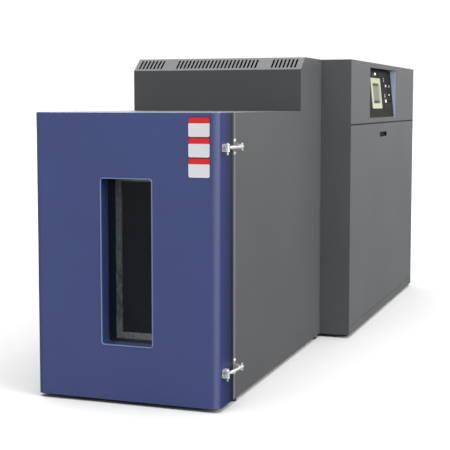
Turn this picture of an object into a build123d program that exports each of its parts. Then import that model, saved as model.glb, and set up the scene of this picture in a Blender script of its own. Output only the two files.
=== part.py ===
from build123d import *
import os
from math import atan2, cos, hypot, pi, sin

# Walk-up environmental test chamber with a front door and an equipment cabinet behind.
# Millimetres. +Z is up, the door faces -Y, and the origin is on the floor under the middle.

# Whole machine
HEIGHT = 1800.0  # floor to cabinet top
FOOT_HEIGHT = 20.0  # floor to the underside of every outer panel
SHEET = 2.0  # outer panels
LINER_SHEET = 1.5  # stainless panels
RUN_GAP = 0.3  # beside a piece that moves or is pushed in
FIT_GAP = 0.1  # around a pin
SEAM_GAP = 3.0  # between neighbouring outer panels

# Equipment cabinet
CABINET_WIDTH = 1440.0
CABINET_LENGTH = 2260.0
RIGHT_STEP = 195.0  # how far it stands out beyond the body on the right
LEFT_STEP = 150.0
PLINTH_TOP = 72.0
PANEL_FLANGE = 18.0  # turned-in edge of a removable panel
TUBE = 40.0  # square frame tube
TUBE_WALL = 3.0
TOP_RAIL = 28.0  # height of the flat rails under the cabinet top

# Body and hood
HINGE_SIDE_WIDTH = 90.0  # body to the left of the door
HOOD_RISE = 325.0  # above the body's top
HOOD_FRONT = 1450.0  # behind the door face
HOOD_DEPTH = 490.0
HOOD_LEAN_RUN = 95.0
HOOD_LEAN_DROP = 75.0
FRONT_BEND = 9.0
FRONT_FRAME = 24.0  # depth of the frame around the opening

# Hood louvres
SLOT_WIDTH = 11.5
SLOT_PITCH = 24.5
SLOT_LENGTH = 86.0
SLOT_LEFT_MARGIN = 31.0  # body's left edge to the middle of the first slot
SLOT_RIGHT_MARGIN = 44.0
SLOT_BREAK = 105.0  # between the middle group and an end group
END_SLOT_COUNT = 7

# Work space
SIDE_WALL = 102.5  # door's edge to the mouth, each side
WORK_FLOOR = 185.0
CEILING_WALL = 110.0  # work ceiling to the top of the body
REAR_WALL = 87.0
BAFFLE_LEAD = 87.0  # air baffle in front of the hood
LINER_FLANGE = 45.0

# Door
DOOR_THICKNESS = 185.0
DOOR_GAP = 12.0
DOOR_EDGE_RADIUS = 35.0
PLUG_DEPTH = 25.0  # raised middle of the door's inner panel
PLUG_GAP = 16.0
GASKET_WIDTH = 22.0
GASKET_BASE = 6.0

# Window
WINDOW_WIDTH = 285.0
WINDOW_BOTTOM = 301.0
WINDOW_DROP = 324.0  # its top below the body's top
WINDOW_SHIFT = 8.0  # right of the door's middle
WINDOW_RADIUS = 18.0
JAMB_DEPTH = 90.0
JAMB_RIM = 4.0
PANE = 6.0
PANE_LAP = 14.0  # behind the jamb and the spacer
SPACER_WALL = 12.0
INNER_REBATE = 30.0  # inner frame shows this much inside the opening
INNER_FRAME = 10.0

# Door hinges
HINGE_OFFSET = 32.0  # pin axis left of the door
HINGE_SETBACK = 15.0  # pin axis in front of the door's rear face
HINGE_INSET = 170.0  # middle of a hinge from the door's end
KNUCKLE_HEIGHT = 42.0
KNUCKLE_RADIUS = 12.0
HINGE_PIN_RADIUS = 6.0
HINGE_LEAF = 6.0
HINGE_LEAF_WIDTH = 62.0

# Swing-bolt latches
LATCH_INSET = 170.0  # from the door's ends
LATCH_OFFSET = 24.0  # bolt axis to the door's side
LATCH_PIN_SETBACK = 137.0  # pin in front of the door's rear face
LATCH_PIN_RADIUS = 5.0
LATCH_PIN_TAIL = 15.0
CLEVIS_GAP = 28.0
CLEVIS_LUG = 5.0
CLEVIS_BASE = 4.0
CLEVIS_REACH = 40.0
BOLT_RADIUS = 5.0
BOLT_EYE = 12.0
BOLT_TAIL = 12.0
BOLT_REST = 5.5  # degrees that a bolt rests clear of its keeper
FORK_PLATE = 5.0
FORK_SETBACK = 6.0
FORK_REACH = 5.0  # past the bolt axis
FORK_SLACK = 0.6
FORK_HALF_HEIGHT = 18.0
KEEPER_EAR = 22.0
KEEPER_FOOT = 30.0
KEEPER_SHEET = 4.0
NUT_GAP = 1.0
NUT_RADIUS = 9.0
NUT_LENGTH = 14.0
WING_RADIUS = 20.0
WING_RISE = 10.0
WING_THICKNESS = 4.5
WING_ROUND = 3.0

# Control recess and what is on its plate
RECESS_SETBACK = 570.0  # behind the cabinet front
RECESS_LENGTH = 940.0
RECESS_HEIGHT = 346.0
RECESS_MARGIN = 34.0  # below the cabinet's top
RECESS_LEDGE = 40.0  # recess to the seam of the panel below it
RECESS_DEEP = 50.0
RECESS_SHALLOW = 14.0
TRAY_SHEET = 2.0
PLATE_SHEET = 3.0
TOUCH_WIDTH = 318.0
TOUCH_HEIGHT = 218.0
TOUCH_PROUD = 8.0
TOUCH_AT = (338.0, 175.0)  # middle, from the recess's front edge and down the plate
SCREEN_WIDTH = 232.0
SCREEN_HEIGHT = 143.0
SCREEN_DROP = 2.0
LAMP_RADIUS = 10.0
LAMP_PROUD = 9.0
LAMP_AT = (356.0, 36.0)
LED_RADIUS = 3.5
LED_PROUD = 3.0
LED_PLACES = ((656.0, 64.0), (657.0, 81.0), (656.0, 183.0), (656.0, 198.0))
KNOB_RADIUS = 11.0
KNOB_PROUD = 13.0
KNOB_AT = (670.0, 120.0)
START_RADIUS = 10.0
START_PROUD = 9.0
START_AT = (811.0, 120.0)
MUTE_RADIUS = 6.0
MUTE_PROUD = 6.0
MUTE_AT = (805.0, 183.0)
BUTTON_STEM = 0.6  # share of the cap's radius
BUTTON_TRAVEL = 4.0
LIGHT_KEY = (13.0, 24.0)
LIGHT_CORNER = 2.0
LIGHT_PROUD = 8.0
LIGHT_AT = (658.0, 229.0)
SOCKET = (16.0, 10.0)
SOCKET_WALL = 2.0
SOCKET_PROUD = 3.0
SOCKET_AT = (836.0, 233.0)

# Access panel
PULL_WIDTH = 240.0
PULL_HEIGHT = 34.0
PULL_DEPTH = 16.0
PULL_WALL = 4.0
PULL_RIM = 4.0  # lap behind the sheet
PULL_DROP = 80.0  # middle of the pull below the cabinet seam
CATCH_WIDTH = 60.0

# Air circulation
FAN_RADIUS = 180.0
FAN_HEIGHT = 90.0
FAN_EYE = 110.0
FAN_BLADES = 9
FAN_DROP = 30.0  # fan's back plate below the work ceiling
SHAFT_RADIUS = 10.0
MOTOR_RADIUS = 75.0
MOTOR_HEIGHT = 170.0
MOTOR_FLANGE = 10.0
BAFFLE_SLOT = 12.0
BAFFLE_SLOTS = 6
COIL_DEPTH = 130.0
COIL_HEIGHT = 420.0
COIL_FINS = 12
FIN = 2.0
HEADER_DEPTH = 30.0
HEATER_RADIUS = 6.0
HEATER_ROWS = 3
HEATER_PITCH = 50.0

# Cable port
PORT_HOLE_RADIUS = 27.0
PORT_TUBE_WALL = 2.0
PORT_FLANGE = 4.0
PORT_FLANGE_LAP = 15.0
PORT_HEAD = 12.0
PORT_CENTRE_HEIGHT = 800.0
PORT_SETBACK = 650.0  # behind the front frame

# Machine room
COMPRESSOR_RADIUS = 115.0
COMPRESSOR_HEIGHT = 330.0
CONDENSER_MARGIN = 270.0  # from the cabinet's side, left and right
CONDENSER_HEIGHT = 800.0
CONDENSER_DEPTH = 90.0
CONDENSER_SETBACK = 60.0
CONDENSER_FINS = 16
SHROUD_DEPTH = 70.0
FAN_RING_MARGIN = 70.0  # fan ring to the nearest edge of the shroud
AXIAL_BLADES = 5
AXIAL_MOTOR_RADIUS = 60.0
AXIAL_MOTOR_LENGTH = 120.0
PIPE_RADIUS = 9.0
PIPE_BEND = 60.0
TANK = (320.0, 260.0)  # along x and y
TANK_CLEARANCE = 40.0  # under the pipes
VENT_SLOT = 10.0
VENT_PITCH = 42.0
VENT_COUNT = 10
VENT_LENGTH = 420.0
INLET_SIZE = 120.0
INLET_DEPTH = 80.0
INLET_CLEARANCE = 10.0  # to the condenser
INLET_HEIGHT = 260.0
GEAR_HEIGHT = 36.0
GEAR_ROWS = 3
GEAR_COLUMNS = 4

# Feet
FOOT_RADIUS = 20.0
FOOT_PAD = 12.0
FOOT_NUT = 13.0

# Places worked out from the sizes above
door_y0 = -(HOOD_FRONT + HOOD_DEPTH + CABINET_LENGTH) / 2
door_y1 = door_y0 + DOOR_THICKNESS
body_y0 = door_y1 + DOOR_GAP
hood_y = door_y0 + HOOD_FRONT
cabinet_y0 = hood_y + HOOD_DEPTH
cabinet_y1 = cabinet_y0 + CABINET_LENGTH
cabinet_x0 = -CABINET_WIDTH / 2
cabinet_x1 = CABINET_WIDTH / 2
body_x0 = cabinet_x0 + LEFT_STEP
body_x1 = cabinet_x1 - RIGHT_STEP
body_top_z = HEIGHT - HOOD_RISE
door_x0 = body_x0 + HINGE_SIDE_WIDTH
door_x1 = body_x1
door_middle = (door_x0 + door_x1) / 2
frame_y = body_y0 + SHEET
liner_y0 = frame_y + FRONT_FRAME
baffle_y = hood_y - BAFFLE_LEAD
liner_y1 = cabinet_y0 - REAR_WALL
work_x0 = door_x0 + SIDE_WALL
work_x1 = door_x1 - SIDE_WALL
work_ceiling = body_top_z - CEILING_WALL
lip_x0 = work_x0 - LINER_FLANGE - SEAM_GAP
lip_x1 = work_x1 + LINER_FLANGE + SEAM_GAP
window_x = door_middle + WINDOW_SHIFT
window_height = body_top_z - WINDOW_DROP - WINDOW_BOTTOM
window_z = WINDOW_BOTTOM + window_height / 2
plug_y = door_y1 + PLUG_DEPTH
hinge_x = door_x0 - HINGE_OFFSET
hinge_y = door_y1 - HINGE_SETBACK
hinge_heights = (FOOT_HEIGHT + HINGE_INSET, body_top_z - HINGE_INSET)
latch_x = door_x1 + LATCH_OFFSET
latch_pin_y = door_y1 - LATCH_PIN_SETBACK
fork_y = body_y0 + FORK_SETBACK
nut_at = fork_y + FORK_PLATE + NUT_GAP - latch_pin_y
upper_latch_z = body_top_z - LATCH_INSET
lower_latch_z = FOOT_HEIGHT + LATCH_INSET
base_top = FOOT_HEIGHT + TUBE
floor_z = base_top + SHEET
frame_inset = SHEET + PANEL_FLANGE + SHEET
post_x = cabinet_x1 - frame_inset - TUBE
fan_y = (baffle_y + liner_y1) / 2
recess_y0 = cabinet_y0 + RECESS_SETBACK
recess_y1 = recess_y0 + RECESS_LENGTH
recess_top = HEIGHT - RECESS_MARGIN
recess_bottom = recess_top - RECESS_HEIGHT
seam_z = recess_bottom - RECESS_LEDGE
pull_y = (recess_y0 + recess_y1) / 2
pull_z = seam_z - PULL_DROP
panel_lean = atan2(RECESS_DEEP - RECESS_SHALLOW, RECESS_HEIGHT)
panel_length = hypot(RECESS_DEEP - RECESS_SHALLOW, RECESS_HEIGHT)
condenser_y1 = cabinet_y1 - SHEET - CONDENSER_SETBACK
condenser_y0 = condenser_y1 - CONDENSER_DEPTH
condenser_z1 = floor_z + CONDENSER_HEIGHT
condenser_x1 = cabinet_x1 - CONDENSER_MARGIN
fan_ring = min(condenser_x1, CONDENSER_HEIGHT / 2) - FAN_RING_MARGIN
inlet_x = condenser_x1 + INLET_CLEARANCE + INLET_SIZE / 2
control_plane = Plane(
    origin=(cabinet_x1 - RECESS_DEEP, recess_y0, recess_top),
    x_dir=(0, 1, 0),
    z_dir=(cos(panel_lean), 0, sin(panel_lean)),
)
AXIS_TURN = {"x": (0, 90, 0), "y": (-90, 0, 0), "z": (0, 0, 0)}


def block(x, y, z):
    """Make a box from three (low, high) pairs."""
    low = [min(pair) for pair in (x, y, z)]
    high = [max(pair) for pair in (x, y, z)]
    middle = [(a + b) / 2 for a, b in zip(low, high)]
    return Pos(*middle) * Box(*[b - a for a, b in zip(low, high)])


def bar(along, start, radius, length):
    """Make a round bar that leaves start in the positive direction of an axis."""
    return Pos(*start) * Rot(*AXIS_TURN[along]) * Pos(0, 0, length / 2) * Cylinder(radius, length)


def prism(along, start, radius, length, sides):
    """Make a many-sided bar that leaves start in the positive direction of an axis."""
    return Pos(*start) * Rot(*AXIS_TURN[along]) * extrude(RegularPolygon(radius, sides), length)


def pipe(along, start, radius, bore, length):
    """Make a round bar with a hole right through it."""
    return bar(along, start, radius, length) - bar(along, start, bore, length)


def across(points, x0, x1):
    """Extrude a closed (y, z) outline from x0 to x1."""
    face = make_face(Polyline(*points, close=True).edges())
    return Pos(x0, 0, 0) * extrude(Plane.YZ * face, x1 - x0)


def square_tube(along, x, y, z):
    """Make a square tube, open at both ends, that fills three (low, high) pairs."""
    spans = {"x": x, "y": y, "z": z}
    bore = {}
    for name, (low, high) in spans.items():
        wall = 0 if name == along else TUBE_WALL
        bore[name] = (low + wall, high - wall)
    return block(x, y, z) - block(bore["x"], bore["y"], bore["z"])


def window_block(grow, y0, y1):
    """Make a block through the window, grow larger on each side; corners in sight are rounded."""
    outline = Rectangle(WINDOW_WIDTH + 2 * grow, window_height + 2 * grow)
    if -WINDOW_RADIUS < grow <= 0:
        outline = fillet(outline.vertices(), WINDOW_RADIUS + grow)
    face = Plane(origin=(window_x, y0, window_z), x_dir=(1, 0, 0), z_dir=(0, 1, 0)) * outline
    return extrude(face, y1 - y0)


def window_ring(outer, inner, y0, y1):
    """Make a ring around the window opening between two growths."""
    return window_block(outer, y0, y1) - window_block(inner, y0, y1)


def save(name, *solids):
    """Write one node; several solids stay separate in it."""
    shape = solids[0] if len(solids) == 1 else Compound(children=list(solids))
    export_step(shape, f"parts/{name}.step")


def both_sides(solid):
    """Return a solid and its mirror image about the middle of the cabinet."""
    return [solid, mirror(solid, about=Plane.YZ)]


# Base and cabinet frame

def base_frame():
    """Square tubes laid along and across, and the floor sheet of the machine room."""
    z = (FOOT_HEIGHT, base_top)
    bars = []
    x = (body_x0 + SHEET, body_x1 - SHEET)
    for x0 in (x[0], x[1] - TUBE):
        bars.append(square_tube("y", (x0, x0 + TUBE), (liner_y0, cabinet_y0), z))
    for y0 in (liner_y0, (liner_y0 + cabinet_y0 - TUBE) / 2, cabinet_y0 - TUBE):
        bars.append(square_tube("x", (x[0] + TUBE, x[1] - TUBE), (y0, y0 + TUBE), z))
    y = (cabinet_y0 + SHEET, cabinet_y1 - SHEET)
    for x0 in (-post_x - TUBE, post_x):
        bars.append(square_tube("y", (x0, x0 + TUBE), y, z))
    for y0 in (y[0], (y[0] + y[1] - TUBE) / 2, y[1] - TUBE):
        bars.append(square_tube("x", (-post_x, post_x), (y0, y0 + TUBE), z))
    save("base_frame", *bars, block((-post_x, post_x), y, (base_top, floor_z)))


def levelling_feet():
    """Eight feet: a tapered pad under the nut that carries the frame."""
    feet = []
    body_rails = (body_x0 + SHEET + TUBE / 2, body_x1 - SHEET - TUBE / 2)
    cabinet_rails = (-post_x - TUBE / 2, post_x + TUBE / 2)
    places = [(x, y) for x in body_rails for y in (liner_y0 + TUBE, cabinet_y0 - 2 * TUBE)]
    places += [(x, y) for x in cabinet_rails for y in (cabinet_y0 + 2 * TUBE, cabinet_y1 - 2 * TUBE)]
    for x, y in places:
        pad = Pos(x, y, 0) * extrude(RegularPolygon(FOOT_RADIUS, 12), FOOT_PAD, taper=15)
        feet.append(pad + prism("z", (x, y, FOOT_PAD), FOOT_NUT, FOOT_HEIGHT - FOOT_PAD, 6))
    save("levelling_feet", *feet)


def cabinet_frame():
    """Posts, top rails and seam rails that carry the cabinet's panels."""
    x = (post_x, post_x + TUBE)
    top = HEIGHT - SHEET
    front, middle, rear = (
        cabinet_y0 + SHEET,
        (cabinet_y0 + cabinet_y1 - TUBE) / 2,
        cabinet_y1 - SHEET - TUBE,
    )
    rail_z = (seam_z - TUBE / 2, seam_z + TUBE / 2)
    bars = []
    for y0, z1 in ((front, top - TOP_RAIL), (middle, rail_z[0]), (rear, top - TOP_RAIL)):
        bars += both_sides(square_tube("z", x, (y0, y0 + TUBE), (base_top, z1)))
    bars += both_sides(square_tube("y", x, (front, rear + TUBE), (top - TOP_RAIL, top)))
    bars += both_sides(square_tube("y", x, (front + TUBE, rear), rail_z))
    save("cabinet_frame", *bars)


# Body shell

def body_side(name, outer, lip_end, ported):
    """One side panel: flat sheet in the body's stepped outline, its front edge turned in."""
    inward = 1 if lip_end > outer else -1
    outline = [
        (body_y0 + FRONT_BEND, FOOT_HEIGHT),
        (cabinet_y0, FOOT_HEIGHT),
        (cabinet_y0, HEIGHT),
        (hood_y + HOOD_LEAN_RUN, HEIGHT),
        (hood_y, HEIGHT - HOOD_LEAN_DROP),
        (hood_y, body_top_z),
        (body_y0 + FRONT_BEND, body_top_z),
    ]
    panel = across(outline, outer, outer + inward * SHEET)
    centre = (outer + inward * FRONT_BEND, body_y0 + FRONT_BEND)
    z = (FOOT_HEIGHT, body_top_z)
    bend = pipe("z", (*centre, z[0]), FRONT_BEND, FRONT_BEND - SHEET, z[1] - z[0])
    quarter = block((outer, centre[0]), (body_y0, centre[1]), z)
    panel += (bend & quarter) + block((centre[0], lip_end), (body_y0, frame_y), z)
    if ported:
        centre = (frame_y + PORT_SETBACK, PORT_CENTRE_HEIGHT)
        panel -= bar("x", (outer, *centre), PORT_HOLE_RADIUS, SHEET)
    save(name, panel)


def body_top():
    """Top panel between the sides, its front edge turned down to the mouth's flange."""
    z = (body_top_z - SHEET, body_top_z)
    flat = block((body_x0 + SHEET, body_x1 - SHEET), (body_y0 + FRONT_BEND, cabinet_y0), z)
    flat += block((lip_x0, lip_x1), (frame_y, body_y0 + FRONT_BEND), z)
    lip_z = (work_ceiling + LINER_FLANGE + SEAM_GAP, body_top_z)
    panel = flat + block((lip_x0, lip_x1), (body_y0, frame_y), lip_z)
    save("body_top", panel - bar("z", (door_middle, fan_y, z[0]), 2 * SHAFT_RADIUS, SHEET))


def slot_places():
    """Middles of the louvre slots from the body's left edge: two end groups and a centred one."""
    end_run = (END_SLOT_COUNT - 1) * SLOT_PITCH
    right = body_x1 - body_x0 - SLOT_RIGHT_MARGIN - end_run
    gap = (SLOT_LEFT_MARGIN + end_run, right)
    count = int((gap[1] - gap[0] - 2 * SLOT_BREAK) / SLOT_PITCH) + 1
    first = (gap[0] + gap[1] - (count - 1) * SLOT_PITCH) / 2
    groups = ((END_SLOT_COUNT, SLOT_LEFT_MARGIN), (count, first), (END_SLOT_COUNT, right))
    return [start + k * SLOT_PITCH for number, start in groups for k in range(number)]


def hood_cover():
    """Hood bent from one sheet, with three groups of slots through its leaning face."""
    lean_y = hood_y + HOOD_LEAN_RUN
    lean_z = HEIGHT - HOOD_LEAN_DROP
    x0, x1 = body_x0 + SHEET, body_x1 - SHEET
    outline = [(hood_y, body_top_z), (hood_y, lean_z), (lean_y, HEIGHT), (cabinet_y0, HEIGHT)]
    sheet = offset(Polyline(*outline), SHEET, side=Side.RIGHT, kind=Kind.INTERSECTION)
    cover = Pos(x0, 0, 0) * extrude(Plane.YZ * make_face(sheet.edges()), x1 - x0)
    slope = hypot(HOOD_LEAN_RUN, HOOD_LEAN_DROP)
    face = Plane(
        origin=(body_x0, hood_y + HOOD_LEAN_RUN / 2, HEIGHT - HOOD_LEAN_DROP / 2),
        x_dir=(1, 0, 0),
        z_dir=(0, -HOOD_LEAN_DROP / slope, HOOD_LEAN_RUN / slope),
    )
    slot = Rectangle(SLOT_WIDTH, min(SLOT_LENGTH, slope - 8 * SHEET))
    slot = chamfer(slot.vertices(), SLOT_WIDTH / 3)
    slots = Sketch() + [Pos(place, 0) * slot for place in slot_places()]
    save("hood_cover", cover - extrude(face * slots, 2 * SHEET, both=True))


def front_frame():
    """Frame around the work space's mouth, behind the turned-in panel edges."""
    z = (FOOT_HEIGHT, body_top_z - SHEET)
    frame = block((body_x0 + SHEET, body_x1 - SHEET), (frame_y, liner_y0), z)
    corners = frame.edges().filter_by(Axis.Z).group_by(Axis.Y)[0]
    frame = chamfer(corners, FRONT_BEND - SHEET)
    mouth_x = (work_x0 - LINER_SHEET, work_x1 + LINER_SHEET)
    mouth_z = (WORK_FLOOR - LINER_SHEET, work_ceiling + LINER_SHEET)
    save("front_frame", frame - block(mouth_x, (frame_y, liner_y0), mouth_z))


# Work space

def suction_height():
    """Height of the two straight pipes between the cooling coil and the compressors."""
    return floor_z + 0.7 * COMPRESSOR_HEIGHT


def wall_holes(sides, grow=0.0):
    """Join the cutters where the shaft, the cable port and the two pipes pass the walls."""
    start = (door_middle, fan_y, work_ceiling - SHEET)
    cut = prism("z", start, 2 * SHAFT_RADIUS + grow, 2 * CEILING_WALL, sides)
    start = (body_x0, frame_y + PORT_SETBACK, PORT_CENTRE_HEIGHT)
    cut += prism("x", start, PORT_HOLE_RADIUS + grow, work_x0 - body_x0 + SHEET, sides)
    for x, _ in compressor_places():
        start = (x, liner_y1 - SHEET, suction_height())
        length = cabinet_y0 - liner_y1 + 2 * SHEET
        cut += prism("y", start, PIPE_RADIUS + SHEET + grow, length, sides)
    return cut


def chamber_liner():
    """Stainless box around the work space and the air plenum, with a flange at its mouth."""
    t = LINER_SHEET
    z = (WORK_FLOOR, work_ceiling)
    tub = block((work_x0 - t, work_x1 + t), (frame_y - t, liner_y1 + t), (z[0] - t, z[1] + t))
    wide_x = (work_x0 - LINER_FLANGE, work_x1 + LINER_FLANGE)
    tub += block(wide_x, (frame_y - t, frame_y), (z[0] - LINER_FLANGE, z[1] + LINER_FLANGE))
    hollow = block((work_x0, work_x1), (frame_y - t, liner_y1), z)
    save("chamber_liner", tub - hollow - wall_holes(24))


def wall_insulation():
    """Five mineral wool slabs between the liner and the outer panels."""
    t = LINER_SHEET
    x = (body_x0 + SHEET, work_x0 - t, work_x1 + t, body_x1 - SHEET)
    z = (base_top, WORK_FLOOR - t, work_ceiling + t, body_top_z - SHEET)
    y = (liner_y0, cabinet_y0)
    slabs = [
        block((x[0], x[3]), y, (z[0], z[1])),
        block((x[0], x[3]), y, (z[2], z[3])),
        block((x[0], x[1]), y, (z[1], z[2])),
        block((x[2], x[3]), y, (z[1], z[2])),
        block((x[1], x[2]), (liner_y1 + t, cabinet_y0), (z[1], z[2])),
    ]
    holes = wall_holes(8, TUBE / 8)
    save("wall_insulation", *[slab - holes for slab in slabs])


def air_baffle():
    """Partition in front of the plenum: slots above for supply, below for return."""
    y = (baffle_y, baffle_y + LINER_SHEET)
    z = (WORK_FLOOR + RUN_GAP, work_ceiling - RUN_GAP)
    plate = block((work_x0 + RUN_GAP, work_x1 - RUN_GAP), y, z)
    slot_x = (work_x0 + 4 * BAFFLE_SLOT, work_x1 - 4 * BAFFLE_SLOT)
    for k in range(BAFFLE_SLOTS):
        rise = (3 + 3 * k) * BAFFLE_SLOT
        plate -= block(slot_x, y, (z[0] + rise, z[0] + rise + BAFFLE_SLOT))
        plate -= block(slot_x, y, (z[1] - rise - BAFFLE_SLOT, z[1] - rise))
    save("air_baffle", plate)


def finned_coil(x, y, z, fins):
    """Make upright plate fins in a row along x, between the rails of their casing."""
    pitch = (x[1] - x[0] - FIN) / (fins - 1)
    coil = block(x, y, (z[0], z[0] + FIN)) + block(x, y, (z[1] - FIN, z[1]))
    for k in range(fins):
        coil += block((x[0] + k * pitch, x[0] + k * pitch + FIN), y, z)
    return coil


def evaporator_coil():
    """Cooling coil low in the plenum, standing on the liner's floor, with its header behind."""
    x = (work_x0 + 2 * TUBE, work_x1 - 2 * TUBE)
    y = (fan_y - COIL_DEPTH / 2, fan_y + COIL_DEPTH / 2)
    coil = finned_coil(x, y, (WORK_FLOOR, WORK_FLOOR + COIL_HEIGHT), COIL_FINS)
    z = (suction_height() - 2 * PIPE_RADIUS, suction_height() + 2 * PIPE_RADIUS)
    save("evaporator_coil", coil + block(x, (y[1], y[1] + HEADER_DEPTH), z))


def heater_bank():
    """Sheathed heater rods across the plenum above the cooling coil, wall to wall."""
    first = WORK_FLOOR + COIL_HEIGHT + 2 * HEATER_PITCH
    heights = [first + k * HEATER_PITCH for k in range(HEATER_ROWS)]
    length = work_x1 - work_x0
    rods = [prism("x", (work_x0, fan_y, z), HEATER_RADIUS, length, 12) for z in heights]
    save("heater_bank", *rods)


def circulation_motor():
    """Fan motor on the body's top panel inside the hood, bored for the fan's shaft."""
    half = 1.5 * MOTOR_RADIUS
    x = (door_middle - half, door_middle + half)
    motor = block(x, (fan_y - half, fan_y + half), (body_top_z, body_top_z + MOTOR_FLANGE))
    case = prism("z", (door_middle, fan_y, body_top_z), MOTOR_RADIUS, MOTOR_HEIGHT, 24)
    case = chamfer(case.edges().group_by(Axis.Z)[-1], MOTOR_RADIUS / 6)
    terminal_y = (fan_y - MOTOR_RADIUS / 2, fan_y + MOTOR_RADIUS / 2)
    terminal_z = (body_top_z + 2 * MOTOR_FLANGE, body_top_z + MOTOR_HEIGHT / 2)
    motor = motor + case + block((door_middle, x[1]), terminal_y, terminal_z)
    bore_height = MOTOR_HEIGHT / 2 + RUN_GAP
    motor -= bar("z", (door_middle, fan_y, body_top_z), SHAFT_RADIUS + FIT_GAP, bore_height)
    save("circulation_motor", motor)


def circulation_fan():
    """Fan with leaning blades: back plate, eye ring, blades and the shaft up to the motor."""
    top = work_ceiling - FAN_DROP
    low = top - FAN_HEIGHT
    centre = (door_middle, fan_y)
    fan = prism("z", (*centre, top - SHEET), FAN_RADIUS, SHEET, 24)
    fan += prism("z", (*centre, low), FAN_RADIUS, SHEET, 24) - prism("z", (*centre, low), FAN_EYE, SHEET, 24)
    fan += bar("z", (*centre, top - SHEET), SHAFT_RADIUS, body_top_z + MOTOR_HEIGHT / 2 - top)
    sweep_back = FAN_RADIUS / 4
    tip = FAN_RADIUS * cos(atan2(sweep_back, FAN_RADIUS)) - 2 * SHEET
    blade = extrude(trace(Line((FAN_EYE, 0), (tip, -sweep_back)), SHEET), FAN_HEIGHT)
    for k in range(FAN_BLADES):
        fan += Pos(*centre, low) * Rot(0, 0, k * 360 / FAN_BLADES) * blade
    save("circulation_fan", fan)


def cable_port():
    """Sleeve through the left wall with an outer flange, and the plug pushed into it."""
    centre = (frame_y + PORT_SETBACK, PORT_CENTRE_HEIGHT)
    outside = body_x0 - PORT_FLANGE
    tube_radius = PORT_HOLE_RADIUS - RUN_GAP
    bore = tube_radius - PORT_TUBE_WALL
    sleeve = pipe("x", (outside, *centre), tube_radius, bore, work_x0 - outside)
    sleeve += pipe("x", (outside, *centre), tube_radius + PORT_FLANGE_LAP, bore, PORT_FLANGE)
    save("cable_port", sleeve)
    plug = prism("x", (outside, *centre), bore - RUN_GAP, (work_x0 - outside) / 2, 24)
    head = prism("x", (outside - PORT_HEAD, *centre), bore + PORT_FLANGE_LAP / 2, PORT_HEAD, 24)
    head = chamfer(head.edges().group_by(Axis.X)[0], PORT_HEAD / 3)
    save("cable_port_plug", plug + head)


# Door

def door_outline(inset):
    """Door's plan section with its two front corners rounded, inset on three sides."""
    depth = DOOR_THICKNESS - inset
    face = Rectangle(door_x1 - door_x0 - 2 * inset, depth)
    face = Pos(door_middle, door_y1 - depth / 2) * face
    return fillet(face.vertices().group_by(Axis.Y)[0], DOOR_EDGE_RADIUS - inset)


def door_block(inset):
    """Make the door's outer form, inset everywhere but at its rear."""
    rise = body_top_z - FOOT_HEIGHT - 2 * inset
    return Pos(0, 0, FOOT_HEIGHT + inset) * extrude(door_outline(inset), rise)


def door_shell():
    """Outer pan of the door, open at the back, with the window cut through its face."""
    shell = door_block(0) - door_block(SHEET)
    save("door_shell", shell - window_block(0, door_y0, door_y1))


def plug_block(inset, y1):
    """Block that fills the raised middle of the door, up to y1."""
    gap = PLUG_GAP + inset
    z = (WORK_FLOOR + gap, work_ceiling - gap)
    return block((work_x0 + gap, work_x1 - gap), (door_y1 - SHEET, y1), z)


def door_core():
    """Insulation that fills the door around the window."""
    core = door_block(SHEET)
    core -= block((door_x0, door_x1), (door_y1 - SHEET, door_y1), (FOOT_HEIGHT, body_top_z))
    core += plug_block(LINER_SHEET, plug_y - LINER_SHEET)
    save("door_core", core - window_block(PANE_LAP + RUN_GAP, door_y0, plug_y))


def door_inner_panel():
    """Stainless inner panel, its middle raised as a plug that enters the work space's mouth."""
    z = (FOOT_HEIGHT + SHEET, body_top_z - SHEET)
    panel = block((door_x0 + SHEET, door_x1 - SHEET), (door_y1 - SHEET, door_y1), z)
    panel += plug_block(0, plug_y)
    panel -= plug_block(LINER_SHEET, plug_y - LINER_SHEET)
    save("door_inner_panel", panel - window_block(PANE_LAP + RUN_GAP, door_y0, plug_y))


def door_gasket():
    """Soft seal on the door's inner panel: a broad base and a narrower lip."""
    lip_end = frame_y - LINER_SHEET - RUN_GAP

    def ring(width, y):
        outer = (LINER_FLANGE + width) / 2
        inner = (LINER_FLANGE - width) / 2
        walls = []
        for grow in (outer, inner):
            z = (WORK_FLOOR - grow, work_ceiling + grow)
            walls.append(block((work_x0 - grow, work_x1 + grow), y, z))
        return walls[0] - walls[1]

    base = ring(GASKET_WIDTH, (door_y1, door_y1 + GASKET_BASE))
    save("door_gasket", base + ring(GASKET_WIDTH / 2, (door_y1 + GASKET_BASE, lip_end)))


def window():
    """Jamb, two panes, the spacer between them and the stainless inner frame."""
    jamb_y = door_y0 + JAMB_DEPTH
    pane_y = jamb_y + PANE
    clamp_y = plug_y - INNER_FRAME / 2
    inner_y = clamp_y - PANE
    frame_y0 = inner_y - INNER_FRAME
    jamb = window_ring(0, -SHEET, door_y0, jamb_y)
    jamb += window_ring(JAMB_RIM, -SHEET, door_y0 + SHEET, door_y0 + 2 * SHEET)
    jamb += window_ring(PANE_LAP, -SHEET, jamb_y - SHEET, jamb_y)
    save("window_jamb", jamb)
    panes = [window_block(PANE_LAP, y, y + PANE) for y in (jamb_y, inner_y)]
    save("window_panes", *panes)
    save("window_spacer", window_ring(PANE_LAP, PANE_LAP - SPACER_WALL, pane_y, frame_y0))
    frame = window_ring(PANE_LAP, -INNER_REBATE, frame_y0, inner_y)
    save("window_inner_frame", frame, window_ring(PANE_LAP, -INNER_REBATE, clamp_y, plug_y))


# Hinges and latches

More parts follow.
